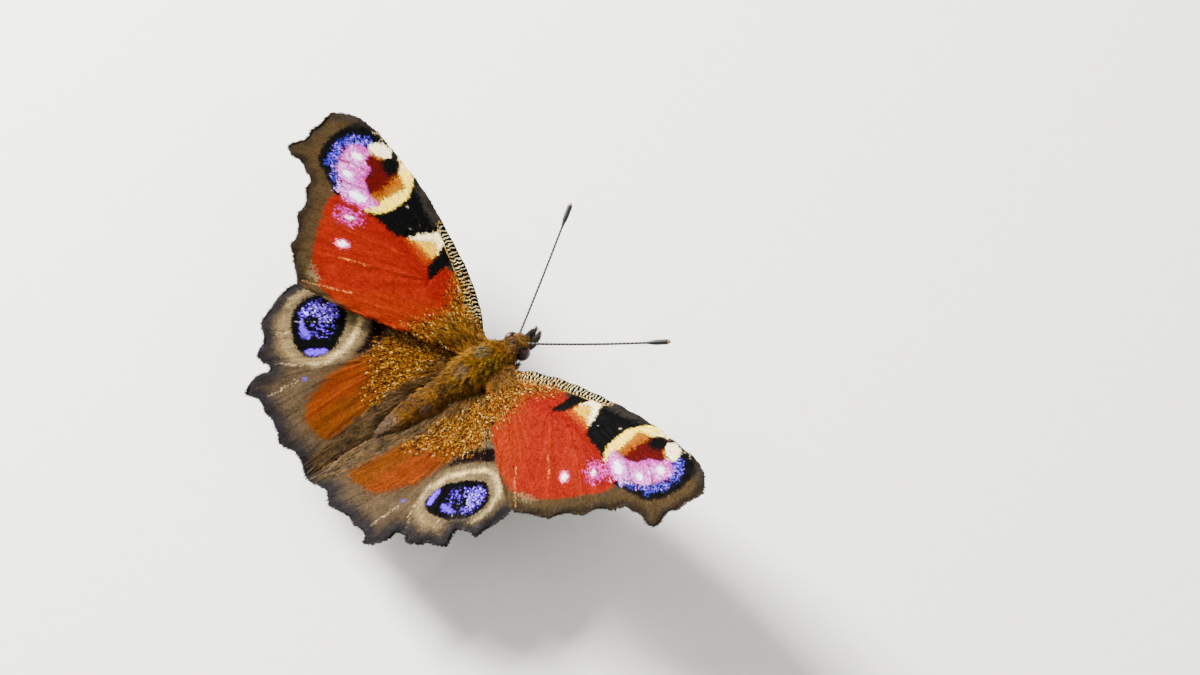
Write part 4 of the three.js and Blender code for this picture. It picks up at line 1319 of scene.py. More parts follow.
    def grow(self, skin: bpy.types.Mesh, material: bpy.types.Material) -> bpy.types.Mesh:
        """Grows the coat on a skin.

        Args:
            skin: The skin, in millimetres, with its attributes.
            material: The coat's finish.

        Returns:
            The plain mesh of the whole coat.
        """
        members = self.members(material)
        host = bpy.data.objects.new(f"{self.name}_host", skin)
        bpy.context.scene.collection.objects.link(host)
        growth = host.modifiers.new("growth", "NODES")
        growth.node_group = self.tree(members, material)
        sizes = {**self.sizes(), "Seed": self.seed}
        for item in growth.node_group.interface.items_tree:
            if item.name in sizes:
                growth[item.identifier] = sizes[item.name]
        depsgraph = bpy.context.evaluated_depsgraph_get()
        mesh = bpy.data.meshes.new_from_object(host.evaluated_get(depsgraph), preserve_all_data_layers=True,
                                               depsgraph=depsgraph)
        mesh.name = self.name
        host.modifiers.clear()
        for spare in (host, *members.objects):
            bpy.data.objects.remove(spare)
        bpy.data.collections.remove(members)
        return mesh


# Sub-assemblies


@dataclass
class Sheet:
    """The net of a wing: places in its plane, triangles, the two faces on the animal and every measure."""

    flat: np.ndarray
    triangles: list
    top: np.ndarray
    bottom: np.ndarray
    measures: dict[str, np.ndarray]


@dataclass
class Wing:
    """A wing of the butterfly: pleated membrane with raised veins, its scales, fringe and hair.

    The pose is the wing's rise, its sweep and its twist, in degrees. A ridge is a vein's height at
    the root, its height at the margin and its half width. The curl is the depth of the margin's waves
    and how far they turn, in radians, for each millimetre of span and forward.
    """

    side: int
    pose: Triple
    seed: int
    scales: WingScales
    hair: HairCoat
    hair_coat: Coat
    name: str
    hinge: Triple
    root: tuple[Pair, ...]
    costa: tuple[Pair, ...]
    outer: tuple[Pair, ...]
    veins: tuple[tuple[Pair, ...], ...]
    speckled: tuple[Pair, ...]
    haired: tuple[Pair, ...]
    crossings: tuple[tuple[Pair, ...], ...] = ()
    bald: float = 40.0
    bow: Pair = (0.2, 27.0)
    fold: Triple = (0.0, 0.0, 1.0)
    under_scales: UnderScales = UnderScales()
    scale_coat: Coat = Coat("scales", Blade.SCALE, "scale_cover", 0.095, (0.14, 0.185), (2, 7), 9.0, 51)
    under_coat: Coat = Coat("under_scales", Blade.SCALE, "reach", 0.17, (0.24, 0.3), (2, 7), 9.0, 54)
    fringe_coat: Coat = Coat(
        "fringe", Blade.FRINGE, "reach", 0.1, (0.22, 0.5), (-6, 8), 14.0, 3, seat=Seat.POINTS)
    pitch: float = 0.17
    row_step: float = 0.866
    clearance: float = 0.55
    thickness: float = 0.16
    edge_share: float = 0.35
    margin_width: float = 1.2
    curl: Triple = (0.1, 1.9, 1.3)
    ridge: Triple = (0.09, 0.04, 0.2)
    ridge_run: float = 24.0
    under_ridge: float = 0.4
    pleat: float = 0.03
    fringe_pitch: float = 0.1
    fringe_inset: float = 0.06
    map_start: float = -3.0
    map_end: Pair = (27.5, 17.5)

    @property
    def axes(self) -> tuple[Vector, Vector, Vector]:
        """Gives the directions of a left-hand wing in its pose.

        Returns:
            Span, forward and up.
        """
        rise, sweep, twist = (math.radians(-angle) for angle in self.pose)
        turn = Matrix.Rotation(rise, 3, "Y") @ Matrix.Rotation(twist, 3, "X") @ Matrix.Rotation(sweep, 3, "Z")
        return turn @ Vector((1, 0, 0)), turn @ Vector((0, -1, 0)), turn @ Vector((0, 0, 1))

    def over_plan(self, x: float, y: float) -> Pair:
        """Finds the place on the wing that lies over a place on the floor plan.

        Args:
            x: Distance out from the middle of the body.
            y: Distance back.

        Returns:
            Span and forward.
        """
        span, forward, _ = self.axes
        dx, dy = x - self.hinge[0], y - self.hinge[1]
        scale = span.x * forward.y - span.y * forward.x
        return (dx * forward.y - dy * forward.x) / scale, (dy * span.x - dx * span.y) / scale

    def inner_line(self) -> tuple[Pair, ...]:
        """Gives the points of the inner margin, from the outer margin to the root."""
        raise NotImplementedError

    def lines(self) -> list[np.ndarray]:
        """Gives the outline as five open lines.

        Returns:
            Root, costa, outer margin, inner margin and the line back to the root.
        """
        runs = (self.root, self.costa, self.outer, self.inner_line(), self.root[:1])
        starts = ((), *(run[-1:] for run in runs))
        return [curve_through((*start, *run)) for start, run in zip(starts, runs)]

    def height(self, points: np.ndarray) -> np.ndarray:
        """Gives the height of the wing's middle surface over its plane.

        Args:
            points: Places on the wing.

        Returns:
            Millimetres over the plane.
        """
        rise, span = self.bow
        depth, inner_span, width = self.fold
        bowed = rise * np.sin(np.pi * np.clip(points[:, 0] / span, 0, 1))
        return bowed - depth * np.maximum(1 - (points[:, 0] - inner_span) / width, 0) ** 2

    def turned(self, rows: np.ndarray) -> np.ndarray:
        """Turns rows of span, forward and up to rows of the animal's own frame, on the wing's side."""
        return rows @ np.array(self.axes)[:rows.shape[1]] * np.array([self.side, 1, 1])

    def set_up(self, points: np.ndarray, height: np.ndarray) -> np.ndarray:
        """Turns places on the wing and heights over its plane to places on the animal."""
        hinge = np.array(self.hinge) * np.array([self.side, 1, 1])
        return self.turned(np.column_stack([points, height])) + hinge

    def venation(self, points: np.ndarray) -> tuple[np.ndarray, np.ndarray, np.ndarray, np.ndarray]:
        """Measures points against the veins.

        Args:
            points: Places on the wing.

        Returns:
            Distance to the nearest vein, height of its ridge, number across the veins and outward direction.
        """
        found = [nearness(points, curve_through(vein)) for vein in self.veins]
        gaps = np.stack([near.distance for near in found])
        weights = 1 / (gaps**2 + 0.02)
        number = (weights * np.arange(len(found))[:, None]).sum(0) / weights.sum(0)
        outward = unit(sum(weight[:, None] * near.direction for weight, near in zip(weights, found)))
        high, low, half_width = self.ridge
        crest = high + (low - high) * np.clip(np.linalg.norm(points, axis=1) / self.ridge_run, 0, 1)
        crossed = [nearness(points, curve_through(line)).distance for line in self.crossings]
        nearest = np.minimum.reduce([*gaps, *crossed])
        return nearest, crest * np.exp(-((nearest / (0.55 * half_width)) ** 2)), number, outward

    def measures(self, points: np.ndarray) -> dict[str, np.ndarray]:
        """Measures everything that the finishes and coats need at places on the wing.

        Args:
            points: Places on the wing.

        Returns:
            The values by attribute name.
        """
        nearest, _, number, outward = self.venation(points)
        ones = np.ones(len(points))
        flow = np.column_stack([4.0 * number, 0.25 * np.linalg.norm(points, axis=1), self.side * ones])
        haired = ease(depth_inside(points, self.haired), -0.3, 1.5) * ease(self.bald - points[:, 0], 0.0, 1.5)
        return {
            "wing_place": np.column_stack([points, 0 * ones]), "flow": flow, "vein": nearest,
            "rim": nearness(points, self.lines()[2]).distance, "lie": self.turned(outward),
            "speckle": 0.9 * ease(depth_inside(points, self.speckled), -1.8, 0.9), "hair_cover": haired,
            "scale_cover": ones, "reach": ones,
            **{marking.name: marking.measure(self.marked(points)) for marking in self.scales.markings}}

    def marked(self, points: np.ndarray) -> np.ndarray:
        """Moves places on the wing to where the markings are drawn for them."""
        return points

    def spread(self, points: np.ndarray) -> np.ndarray:
        """Lays places on the wing out on a unit square."""
        start = np.array([self.map_start, min(point[1] for point in self.outer) - 1.0])
        return (points - start) / (np.array(self.map_end) - start).max()

    def sheet(self) -> Sheet:
        """Nets the wing with even triangles, and sets both of its faces in their pose.

        Returns:
            The net.
        """
        ring = np.concatenate([even_steps(line, self.pitch)[:-1] for line in self.lines()])
        low, high = ring.min(0), ring.max(0)
        grid = []
        for k, y in enumerate(np.arange(low[1], high[1], self.pitch * self.row_step)):
            grid += [(x + (k % 2) * self.pitch / 2, y) for x in np.arange(low[0], high[0], self.pitch)]
        grid = np.array(grid)
        grid = grid[inside(grid, ring)]
        grid = grid[nearness(grid, ring, closed=True).distance > self.clearance * self.pitch]
        edge = list(range(len(ring)))
        bounds = list(zip(edge, edge[1:] + edge[:1]))
        net = delaunay_2d_cdt([Vector(p) for p in (*ring, *grid)], bounds, [], 0, 1e-6, True)
        flat = np.array([tuple(v) for v in net[0]])
        triangles = np.array([tuple(f) for f in net[2]])
        triangles = triangles[inside(flat[triangles].mean(1), ring)]
        _, ridge, number, _ = self.venation(flat)
        rim = nearness(flat, ring, closed=True).distance
        phase = np.random.default_rng(self.seed).uniform(0, 6)
        depth, over_span, over_forward = self.curl
        wave = np.sin(flat[:, 0] * over_span + flat[:, 1] * over_forward + phase)
        curl = depth * ease(self.margin_width - rim, 0.0, self.margin_width) * wave
        pleats = self.pleat * np.cos(math.tau * number) * ease(rim, 0.0, self.margin_width)
        middle = self.height(flat) + curl + pleats
        taper = self.thickness / 2 * (self.edge_share + (1 - self.edge_share) * ease(rim, 0.0, 0.5))
        top = self.set_up(flat, middle + taper + ridge)
        bottom = self.set_up(flat, middle - taper - self.under_ridge * ridge)
        a, b, c = (top[triangles[:, k]] for k in range(3))
        if np.cross(b - a, c - a)[:, 2].sum() < 0:
            triangles = triangles[:, ::-1]
        return Sheet(flat, triangles.tolist(), top, bottom, self.measures(flat))

    def membrane(self, sheet: Sheet) -> bpy.types.Mesh:
        """Builds both faces of the wing, closed round the edge.

        Args:
            sheet: The wing's net.

        Returns:
            The mesh, with the finishes' attributes.
        """
        count = len(sheet.flat)
        uses = {(u, v) for a, b, c in sheet.triangles for u, v in ((a, b), (b, c), (c, a))}
        rims = sorted((u, v) for u, v in uses if (v, u) not in uses)
        faces = [*sheet.triangles, *((a + count, c + count, b + count) for a, b, c in sheet.triangles),
                 *((v, u, u + count, v + count) for u, v in rims)]
        mesh = build_mesh(f"{self.node}_membrane", np.concatenate([sheet.top, sheet.bottom]), faces)
        half = len(sheet.triangles)
        mesh.polygons.foreach_set("material_index", np.repeat([0, 1, 1], [half, half, len(rims)]))
        for name, values in sheet.measures.items():
            give(mesh, name, np.concatenate([values, values]))
        island = self.spread(sheet.flat) * np.array([1.0, 0.5])
        unwrap(mesh, np.concatenate([island, island + np.array([0.0, 0.5])]))
        return mesh

    def face(self, sheet: Sheet, under: bool) -> bpy.types.Mesh:
        """Copies one face of the membrane, for coats to grow on.

        Args:
            sheet: The wing's net.
            under: Whether it is the lower face.

        Returns:
            The face alone.
        """
        triangles = [face[::-1] for face in sheet.triangles] if under else sheet.triangles
        skin = build_mesh(f"{self.node}_face", sheet.bottom if under else sheet.top, triangles)
        for name, values in sheet.measures.items():
            give(skin, name, values)
        give(skin, "facing", normals_of(skin))
        unwrap(skin, self.spread(sheet.flat))
        return skin

    def margin(self) -> bpy.types.Mesh:
        """Sets points along the outer and inner margins, for the fringe to grow on.

        Returns:
            Points only, with directions out of the wing.
        """
        lines = self.lines()
        outer, inner = (even_steps(line, self.fringe_pitch) for line in lines[2:4])
        margin = np.concatenate([outer, inner[1:]])
        ahead = np.gradient(margin, axis=0)
        out = unit(np.column_stack([-ahead[:, 1], ahead[:, 0]]))
        probe = margin + 2 * self.fringe_inset * out
        out[inside(probe, np.concatenate([line[:-1] for line in lines]))] *= -1
        margin = margin - self.fringe_inset * out
        points = build_mesh(f"{self.node}_margin", self.set_up(margin, self.height(margin)), [])
        up = self.turned(np.tile([0.0, 0.0, 1.0], (len(margin), 1)))
        flat = np.column_stack([self.spread(margin), np.zeros(len(margin))])
        ways = {"lie": self.turned(out), "facing": up, "unwrap": flat}
        for name, values in {**self.measures(margin), **ways}.items():
            give(points, name, values)
        return points

    @property
    def node(self) -> str:
        """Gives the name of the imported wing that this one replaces."""
        return f"{self.name}_{HANDS[self.side]}"

    def build(self, shop: Workshop) -> None:
        """Builds the wing and hands it over.

        Args:
            shop: The workshop that delivers the pieces.
        """
        sheet = self.sheet()
        upper, lower, margin = self.face(sheet, False), self.face(sheet, True), self.margin()
        for coat, host, finish in (
                (self.scale_coat, upper, self.scales), (self.hair_coat, upper, self.hair),
                (self.under_coat, lower, self.under_scales), (self.fringe_coat, margin, self.scales)):
            grown = replace(coat, name=f"{self.node}_{coat.name}", seed=coat.seed + self.seed)
            shop.deliver(grown.grow(host, shop.finish(finish)))
        shop.deliver(self.membrane(sheet), [self.scales, self.under_scales], [self.node])


@dataclass
class Forewing(Wing):
    """A forewing: falcate, red, with a barred leading edge and the larger eyespot."""

    scales: WingScales = WingScales(
        "red_pigment_scales", "#7A1500", "#5E0703", "#912A00", FOREWING_MARKINGS, bars=True)
    hair: HairCoat = HairCoat("gold_hair_scales", "#3A2400", "#6A4200", "#8C5C00")
    hair_coat: Coat = Coat("hair", Blade.LONG_HAIR, "hair_cover", 0.15, (1.2, 2.3), (5, 16), 16.0, 52)
    name: str = "forewing"
    hinge: Triple = (2.2, -1.0, 7.25)
    root: tuple[Pair, ...] = ((-0.9, -1.9), (-0.9, 0.2))
    costa: tuple[Pair, ...] = (
        (0.1, 1.05), (0.9, 2.4), (1.8, 3.6), (3.0, 5.0), (4.3, 6.3), (5.7, 7.5), (7.1, 8.65), (9.0, 10.15),
        (11.0, 11.65), (13.0, 12.95), (14.9, 14.0), (17.4, 15.3), (19.3, 16.2), (21.4, 16.6), (22.8, 16.4),
        (23.8, 15.95))
    outer: tuple[Pair, ...] = (
        (24.15, 15.2), (24.3, 14.7), (24.45, 14.1), (24.95, 13.3), (24.9, 12.6), (25.2, 11.9), (25.9, 11.3),
        (26.3, 10.75), (25.7, 10.15), (24.8, 10.0), (24.2, 9.75), (23.75, 9.2), (23.1, 8.8), (22.65, 8.2),
        (22.75, 7.3), (22.4, 6.7), (22.1, 6.0), (22.1, 5.2), (22.35, 4.4), (21.9, 3.6), (21.55, 2.8),
        (21.4, 1.9), (21.6, 1.1), (21.1, 0.5), (20.6, -0.3), (20.1, -1.0), (19.5, -1.9))
    inner: tuple[Pair, ...] = ((18.8, -2.3), (14.5, -2.6), (9.0, -2.4), (4.5, -2.2), (1.5, -2.1))
    veins: tuple[tuple[Pair, ...], ...] = (
        ((-0.3, 0.1), (0.4, 0.6), (4.1, 5.2), (8.8, 9.15), (15.5, 14.3)),
        ((8.0, 7.1), (13.8, 12.0), (17.4, 15.3)),
        ((10.2, 8.6), (15.8, 12.9), (19.3, 16.15)),
        ((14.5, 11.3), (19.2, 14.6), (21.5, 16.5)),
        ((18.0, 13.0), (22.2, 14.8), (23.7, 15.8)),
        ((-0.4, -0.2), (4.5, 4.4), (9.0, 7.8), (13.0, 10.5), (19.6, 13.5), (25.0, 13.1)),
        ((11.5, 8.6), (19.7, 11.6), (26.3, 10.8)),
        ((11.7, 7.5), (18.7, 9.6), (23.9, 9.3)),
        ((-0.5, -0.6), (4.5, 2.3), (8.5, 4.0), (12.2, 5.7), (17.6, 7.4), (22.9, 7.3)),
        ((10.6, 4.95), (17.1, 4.9), (22.4, 4.3)),
        ((7.6, 3.6), (14.0, 2.4), (21.6, 0.9)),
        ((-0.6, -1.2), (5.0, -0.7), (12.0, -1.3), (19.7, -1.5)))
    crossings: tuple[tuple[Pair, ...], ...] = (((11.4, 9.4), (11.6, 7.5), (12.0, 5.6)),)
    speckled: tuple[Pair, ...] = (
        (0.0, 1.0), (2.0, 1.6), (3.4, 3.2), (4.6, 4.8), (4.4, 3.0), (4.0, 1.5), (5.0, 0.3), (6.3, -1.0),
        (7.0, -3.0), (0.0, -3.0))
    haired: tuple[Pair, ...] = (
        (-1.2, 0.2), (0.4, 0.9), (1.6, 1.1), (3.0, 0.8), (3.8, -0.7), (3.8, -2.6), (-1.2, -2.6))
    strip: tuple[Pair, ...] = (
        (0.3, 0.2), (1.5, 0.3), (2.5, 1.8), (3.5, 3.4), (4.7, 5.0), (6.0, 6.4), (7.3, 7.6), (8.6, 8.9),
        (8.9, 9.7), (7.8, 9.6), (5.0, 7.4), (2.4, 4.8), (0.0, 1.6))

    def inner_line(self) -> tuple[Pair, ...]:
        """Gives the points of the inner margin."""
        return self.inner

    def measures(self, points: np.ndarray) -> dict[str, np.ndarray]:
        """Adds the leading edge's own measures to those of every wing.

        Args:
            points: Places on the wing.

        Returns:
            The values by attribute name.
        """
        edge, strip = nearness(points, self.lines()[1]), depth_inside(points, self.strip)
        return {**super().measures(points), "costa_along": edge.along, "costa_off": edge.distance,
                "bar_strip": strip, "scale_cover": 1 - ease(strip, -0.25, 0.05)}


@dataclass
class Hindwing(Wing):
    """A hindwing: scalloped, brown, with the shield-like eyespot in a pale ring.

    The eyespot is narrowed beyond its start, and the narrowing rises and falls between the places
    behind the root that its front and rear name.
    """

    scales: WingScales = WingScales(
        "brown_pigment_scales", "#4C3D2A", "#3C3017", "#281C0C", HINDWING_MARKINGS, rim_strength=0.75,
        streaking=0.26, edge_shade="#1C1A1C", edge_width=1.15)
    hair: HairCoat = HairCoat("grey_brown_hair_scales", "#3A2A14", "#5C4524", "#745A32", (
        Dab((1.9, 5.0, 7.0), 3.4, "#54370C"), Dab((-2.1, 5.0, 7.0), 3.4, "#54370C")))
    hair_coat: Coat = Coat("hair", Blade.LONG_HAIR, "hair_cover", 0.17, (1.2, 2.2), (3, 10), 12.0, 53)
    name: str = "hindwing"
    hinge: Triple = (2.0, 1.6, 6.3)
    root: tuple[Pair, ...] = ((-1.2, -2.5), (-1.2, 0.8))
    costa: tuple[Pair, ...] = (
        (1.5, 0.9), (4.0, 0.5), (8.0, -1.7), (11.5, -3.9), (13.6, -5.5), (14.9, -6.9), (15.8, -8.5))
    outer: tuple[Pair, ...] = (
        (16.2, -9.7), (16.0, -11.0), (15.4, -12.5), (14.9, -13.9), (14.4, -14.6), (13.3, -15.0),
        (12.5, -15.6), (12.1, -16.4), (11.7, -16.9), (10.9, -16.75), (10.4, -16.45), (9.75, -16.6),
        (9.65, -17.2), (9.85, -17.9), (9.75, -18.7), (9.4, -19.5), (8.9, -20.1), (8.4, -19.7), (7.9, -19.35),
        (7.1, -19.3), (6.2, -19.6), (5.3, -19.4), (4.4, -19.6), (3.5, -19.8), (2.8, -20.2), (2.1, -20.0),
        (1.3, -19.5), (0.6, -19.4), (-0.5, -19.6), (-1.3, -19.9), (-1.7, -20.0))
    beside: tuple[Pair, ...] = (
        (0.15, 21.2), (0.05, 17.5), (0.03, 15.2), (0.05, 13.8), (0.3, 12.9), (0.62, 11.9), (1.15, 10.5),
        (1.55, 8.0), (1.75, 5.5))
    veins: tuple[tuple[Pair, ...], ...] = (
        ((-0.2, 0.4), (4.0, -0.2), (9.0, -3.1), (14.1, -6.0)),
        ((-0.3, -0.2), (3.6, -1.9), (7.8, -5.0), (12.0, -8.0), (15.9, -10.4)),
        ((7.5, -6.7), (11.3, -10.2), (14.4, -14.4)),
        ((6.9, -8.5), (9.8, -12.2), (12.0, -16.7)),
        ((-0.3, -1.0), (2.8, -4.4), (5.6, -8.8), (7.7, -13.8), (9.4, -19.9)),
        ((5.0, -7.8), (5.9, -13.2), (6.3, -19.6)),
        ((3.4, -5.3), (3.8, -12.0), (3.2, -20.3)),
        ((-0.3, -2.0), (1.3, -7.5), (1.1, -13.0), (0.2, -19.6)))
    bow: Pair = (0.15, 17.0)
    fold: Triple = (0.45, -2.0, 3.5)
    speckled: tuple[Pair, ...] = (
        (0.7, -1.0), (1.2, 0.5), (4.0, -1.5), (5.8, -3.6), (5.8, -5.8), (4.5, -7.5), (3.0, -8.6), (1.9, -9.6),
        (0.8, -9.6), (0.7, -5.0))
    haired: tuple[Pair, ...] = (
        (-1.5, 0.8), (1.0, 0.6), (1.2, -3.0), (1.1, -8.0), (0.8, -13.0), (-0.1, -17.5), (-1.6, -19.5),
        (-3.5, -18.0), (-3.5, -6.0), (-2.0, -2.0))
    eye_width: float = 1.0
    eye_start: float = 8.0
    eye_front: Pair = (4.0, 6.5)
    eye_rear: Pair = (16.5, 14.0)

    def inner_line(self) -> tuple[Pair, ...]:
        """Gives the inner margin, which follows the leaning abdomen."""
        lean = math.sin(math.radians(ABDOMEN_LEAN) * self.side)
        return tuple(self.over_plan(x - (y - 4.5) * lean, y) for x, y in self.beside)

    def marked(self, points: np.ndarray) -> np.ndarray:
        """Narrows the eyespot of a wing that has a narrower one.

        Args:
            points: Places on the wing.

        Returns:
            The places where the markings are drawn for them.
        """
        span, back = points[:, 0], -points[:, 1]
        share = ease(back, *self.eye_front) * ease(back, *self.eye_rear)
        beyond = np.maximum(span - self.eye_start, 0) * share
        return np.column_stack([span + beyond * (1 / self.eye_width - 1), points[:, 1]])


# The right hindwing is narrower, and a piece is torn from its margin
NARROW_COSTA = Hindwing.costa[:4] + ((13.3, -5.1), (14.3, -6.0), (14.85, -7.2))
TORN_MARGIN = (
    (15.0, -8.7), (15.0, -10.1), (15.1, -11.1), (14.5, -11.15), (13.6, -11.6), (13.25, -12.3), (13.7, -13.3),
    (14.2, -14.0), (13.4, -14.8), (12.7, -15.1), (12.5, -15.8), (11.9, -16.4), (11.3, -16.75), (10.6, -16.3),
    (10.0, -16.6)) + Hindwing.outer[12:]


@dataclass
class Body:
    """The trunk: one skin over head, thorax and abdomen, with its coats of hair.

    Each station is a place along the body with its half width, its half height and its middle's height.
    No hair grows in the eyes' sockets.
    """

    shell: Cuticle = Cuticle("soft_chitin_shell", "#1E1206", "#4A3010", 0.7)
    coats: tuple[tuple[Coat, HairCoat], ...] = (
        (Coat("thorax_hair", Blade.HAIR, "thorax_cover", 0.118, (0.9, 1.6), (20, 46), 30.0, 21),
         HairCoat("gold_brown_hair_scales", "#301C00", "#704A00", "#A06E00", (
             # The grey-green patch on the left of the thorax's top and the grey patch near its rear are
             # painted sheen
             Dab((0.7, -0.1, 7.9), 1.1, "#525544", 0.75), Dab((-1.4, -0.4, 8.2), 1.5, "#443905"),
             Dab((0.0, 2.9, 8.2), 0.9, "#554E42", 0.7), Dab((-0.2, -2.5, 7.5), 1.2, "#663600"),
             # The near-black patch at the rear of the thorax, on its right, is painted shade in the gap
             # between thorax and abdomen
             Dab((1.7, 1.1, 7.7), 1.0, "#7B4F00", 0.7), Dab((-0.6, 5.2, 7.6), 1.0, "#0C0000")))),
        (Coat("abdomen_hair", Blade.HAIR, "tail_cover", 0.12, (0.6, 0.95), (10, 26), 18.0, 22),
         HairCoat("tan_hair_scales", "#381E00", "#6A4200", "#8C5E08", (
             # The near-black patch at the front of the abdomen, on its right, is painted shade in the gap
             # between thorax and abdomen
             Dab((-0.7, 5.3, 7.6), 1.0, "#0C0000"), Dab((-0.3, 12.4, 7.0), 1.8, "#524840", 0.7),
             Dab((-1.6, 7.9, 7.4), 0.9, "#524840", 0.6)))),
        (Coat("head_hair", Blade.HAIR, "head_cover", 0.09, (0.65, 1.1), (24, 52), 30.0, 23),
         HairCoat("orange_brown_hair_scales", "#301800", "#704600", "#8C6414", (
             Dab((-0.4, -3.2, 7.9), 0.7, "#3F3328", 0.5),))))
    stations: tuple[tuple[float, float, float, float], ...] = (
        (-5.15, 0.02, 0.02, 6.4), (-4.9, 0.62, 0.62, 6.4), (-4.3, 1.0, 1.1, 6.45), (-3.7, 1.15, 1.2, 6.5),
        (-3.2, 1.15, 1.2, 6.45), (-2.7, 1.3, 1.2, 6.35), (-2.3, 1.6, 1.34, 6.25), (-1.6, 1.95, 1.58, 6.15),
        (-0.4, 2.0, 1.78, 6.1), (1.2, 2.05, 1.88, 6.1), (2.8, 1.8, 1.65, 6.1), (4.2, 1.3, 1.2, 6.1),
        (4.6, 1.17, 1.12, 6.1), (6.2, 1.4, 1.33, 6.1), (8.2, 1.33, 1.27, 6.1), (10.2, 1.08, 1.03, 6.1),
        (12.0, 0.68, 0.65, 6.1), (13.1, 0.32, 0.3, 6.1), (13.4, 0.02, 0.02, 6.1))
    sides: int = 48
    step: float = 0.16
    waist: float = 4.5
    segment: float = 1.1
    ring_swell: float = 0.035
    socket: Triple = (1.15, -3.95, 6.45)
    socket_radii: Triple = (0.75, 0.85, 0.9)
    map_start: float = -5.2
    map_length: float = 18.8

    def trunk(self) -> bpy.types.Mesh:
        """Lofts the skin through the stations.

        Returns:
            The closed skin, with the coats' attributes.
        """
        y, wide, high, middle = even_steps(curve_through(self.stations), self.step).T
        rings = self.ring_swell * np.sin(np.maximum(y - self.waist - 1.0, 0) / self.segment * math.tau)
        wide, high = (np.maximum(half, 0.01) * (1 + rings) for half in (wide, high))
        turn = np.arange(self.sides) * math.tau / self.sides
        sway = np.maximum(y - self.waist, 0) * math.tan(math.radians(ABDOMEN_LEAN))
        x = wide[:, None] * np.sin(turn) - sway[:, None]
        z = middle[:, None] + high[:, None] * np.cos(turn)
        places, faces = loft(np.stack([x, np.broadcast_to(y[:, None], x.shape), z], axis=2))
        mesh = closed_mesh("body_skin", places, faces)
        round_it = np.append(np.tile(turn / math.tau, len(y)), [0.5, 0.5])
        along_it = (places[:, 1] - self.map_start) / self.map_length
        unwrap(mesh, np.column_stack([round_it, along_it]), wrap=True)
        self.dress(mesh, places)
        return mesh

    def dress(self, mesh: bpy.types.Mesh, places: np.ndarray) -> None:
        """Gives the skin the lie, the cover and the reach of each coat.

        Args:
            mesh: The skin.
            places: Its vertices.
        """
        facing = normals_of(mesh)
        x, y, z = places.T
        head, tail = ease(-y, 2.2, 2.9), ease(y, 4.0, 4.9)
        back = np.column_stack([0.35 * x, np.ones_like(x), 0.1 * (z - 6.1)])
        front = np.column_stack([0.4 * x, 1 - 2 * ease(-y, 3.3, 4.3), 0.4 * (z - 6.2)])
        lie = back * (1 - head[:, None]) + front * head[:, None]
        sockets = [np.linalg.norm((places - np.array(self.socket) * (side, 1, 1)) / self.socket_radii, axis=1)
                   for side in HANDS]
        below = ease(-facing[:, 2], 0.2, 0.8)
        for name, values in {
                "facing": facing, "lie": unit(lie - facing * (lie * facing).sum(1, keepdims=True)),
                "head_cover": head * ease(np.minimum(*sockets), 0.8, 1.0),
                "thorax_cover": (1 - head) * (1 - tail), "tail_cover": tail * (1 - 0.3 * below),
                "reach": (1 - 0.35 * head) * (1 - 0.45 * ease(y, 10.0, 13.2)) * (1 - 0.3 * below)}.items():
            give(mesh, name, values)

    def build(self, shop: Workshop) -> None:
        """Builds the trunk and hands it over.

        Args:
            shop: The workshop that delivers the pieces.
        """
        skin = self.trunk()
        for coat, hair in self.coats:
            shop.deliver(coat.grow(skin, shop.finish(hair)))
        shop.deliver(skin, [self.shell], ["thorax", "abdomen", "head"])


@dataclass
class Eyes:
    """The two compound eyes, domes that bulge from the sides of the head."""

    lenses: CompoundEye = CompoundEye()
    centre: Triple = (1.08, -3.95, 6.42)
    radii: Triple = (0.66, 0.8, 0.86)
    rings: int = 30
    sides: int = 44

    def build(self, shop: Workshop) -> None:
        """Builds the eyes and hands them over.

        Args:
            shop: The workshop that delivers the pieces.
        """
        polar = np.linspace(0.01, math.pi - 0.01, self.rings)[:, None] + np.zeros(self.sides)
        turn = np.arange(self.sides) * math.tau / self.sides
        dome = np.stack([np.cos(polar), np.sin(polar) * np.cos(turn), np.sin(polar) * np.sin(turn)], axis=2)
        for side, hand in HANDS.items():
            places, faces = loft((dome * self.radii + self.centre) * (side, 1, 1))
            mesh = closed_mesh(f"eye_{hand}_lenses", places, faces)
            shop.deliver(mesh, [self.lenses], [f"eye_{hand}"])


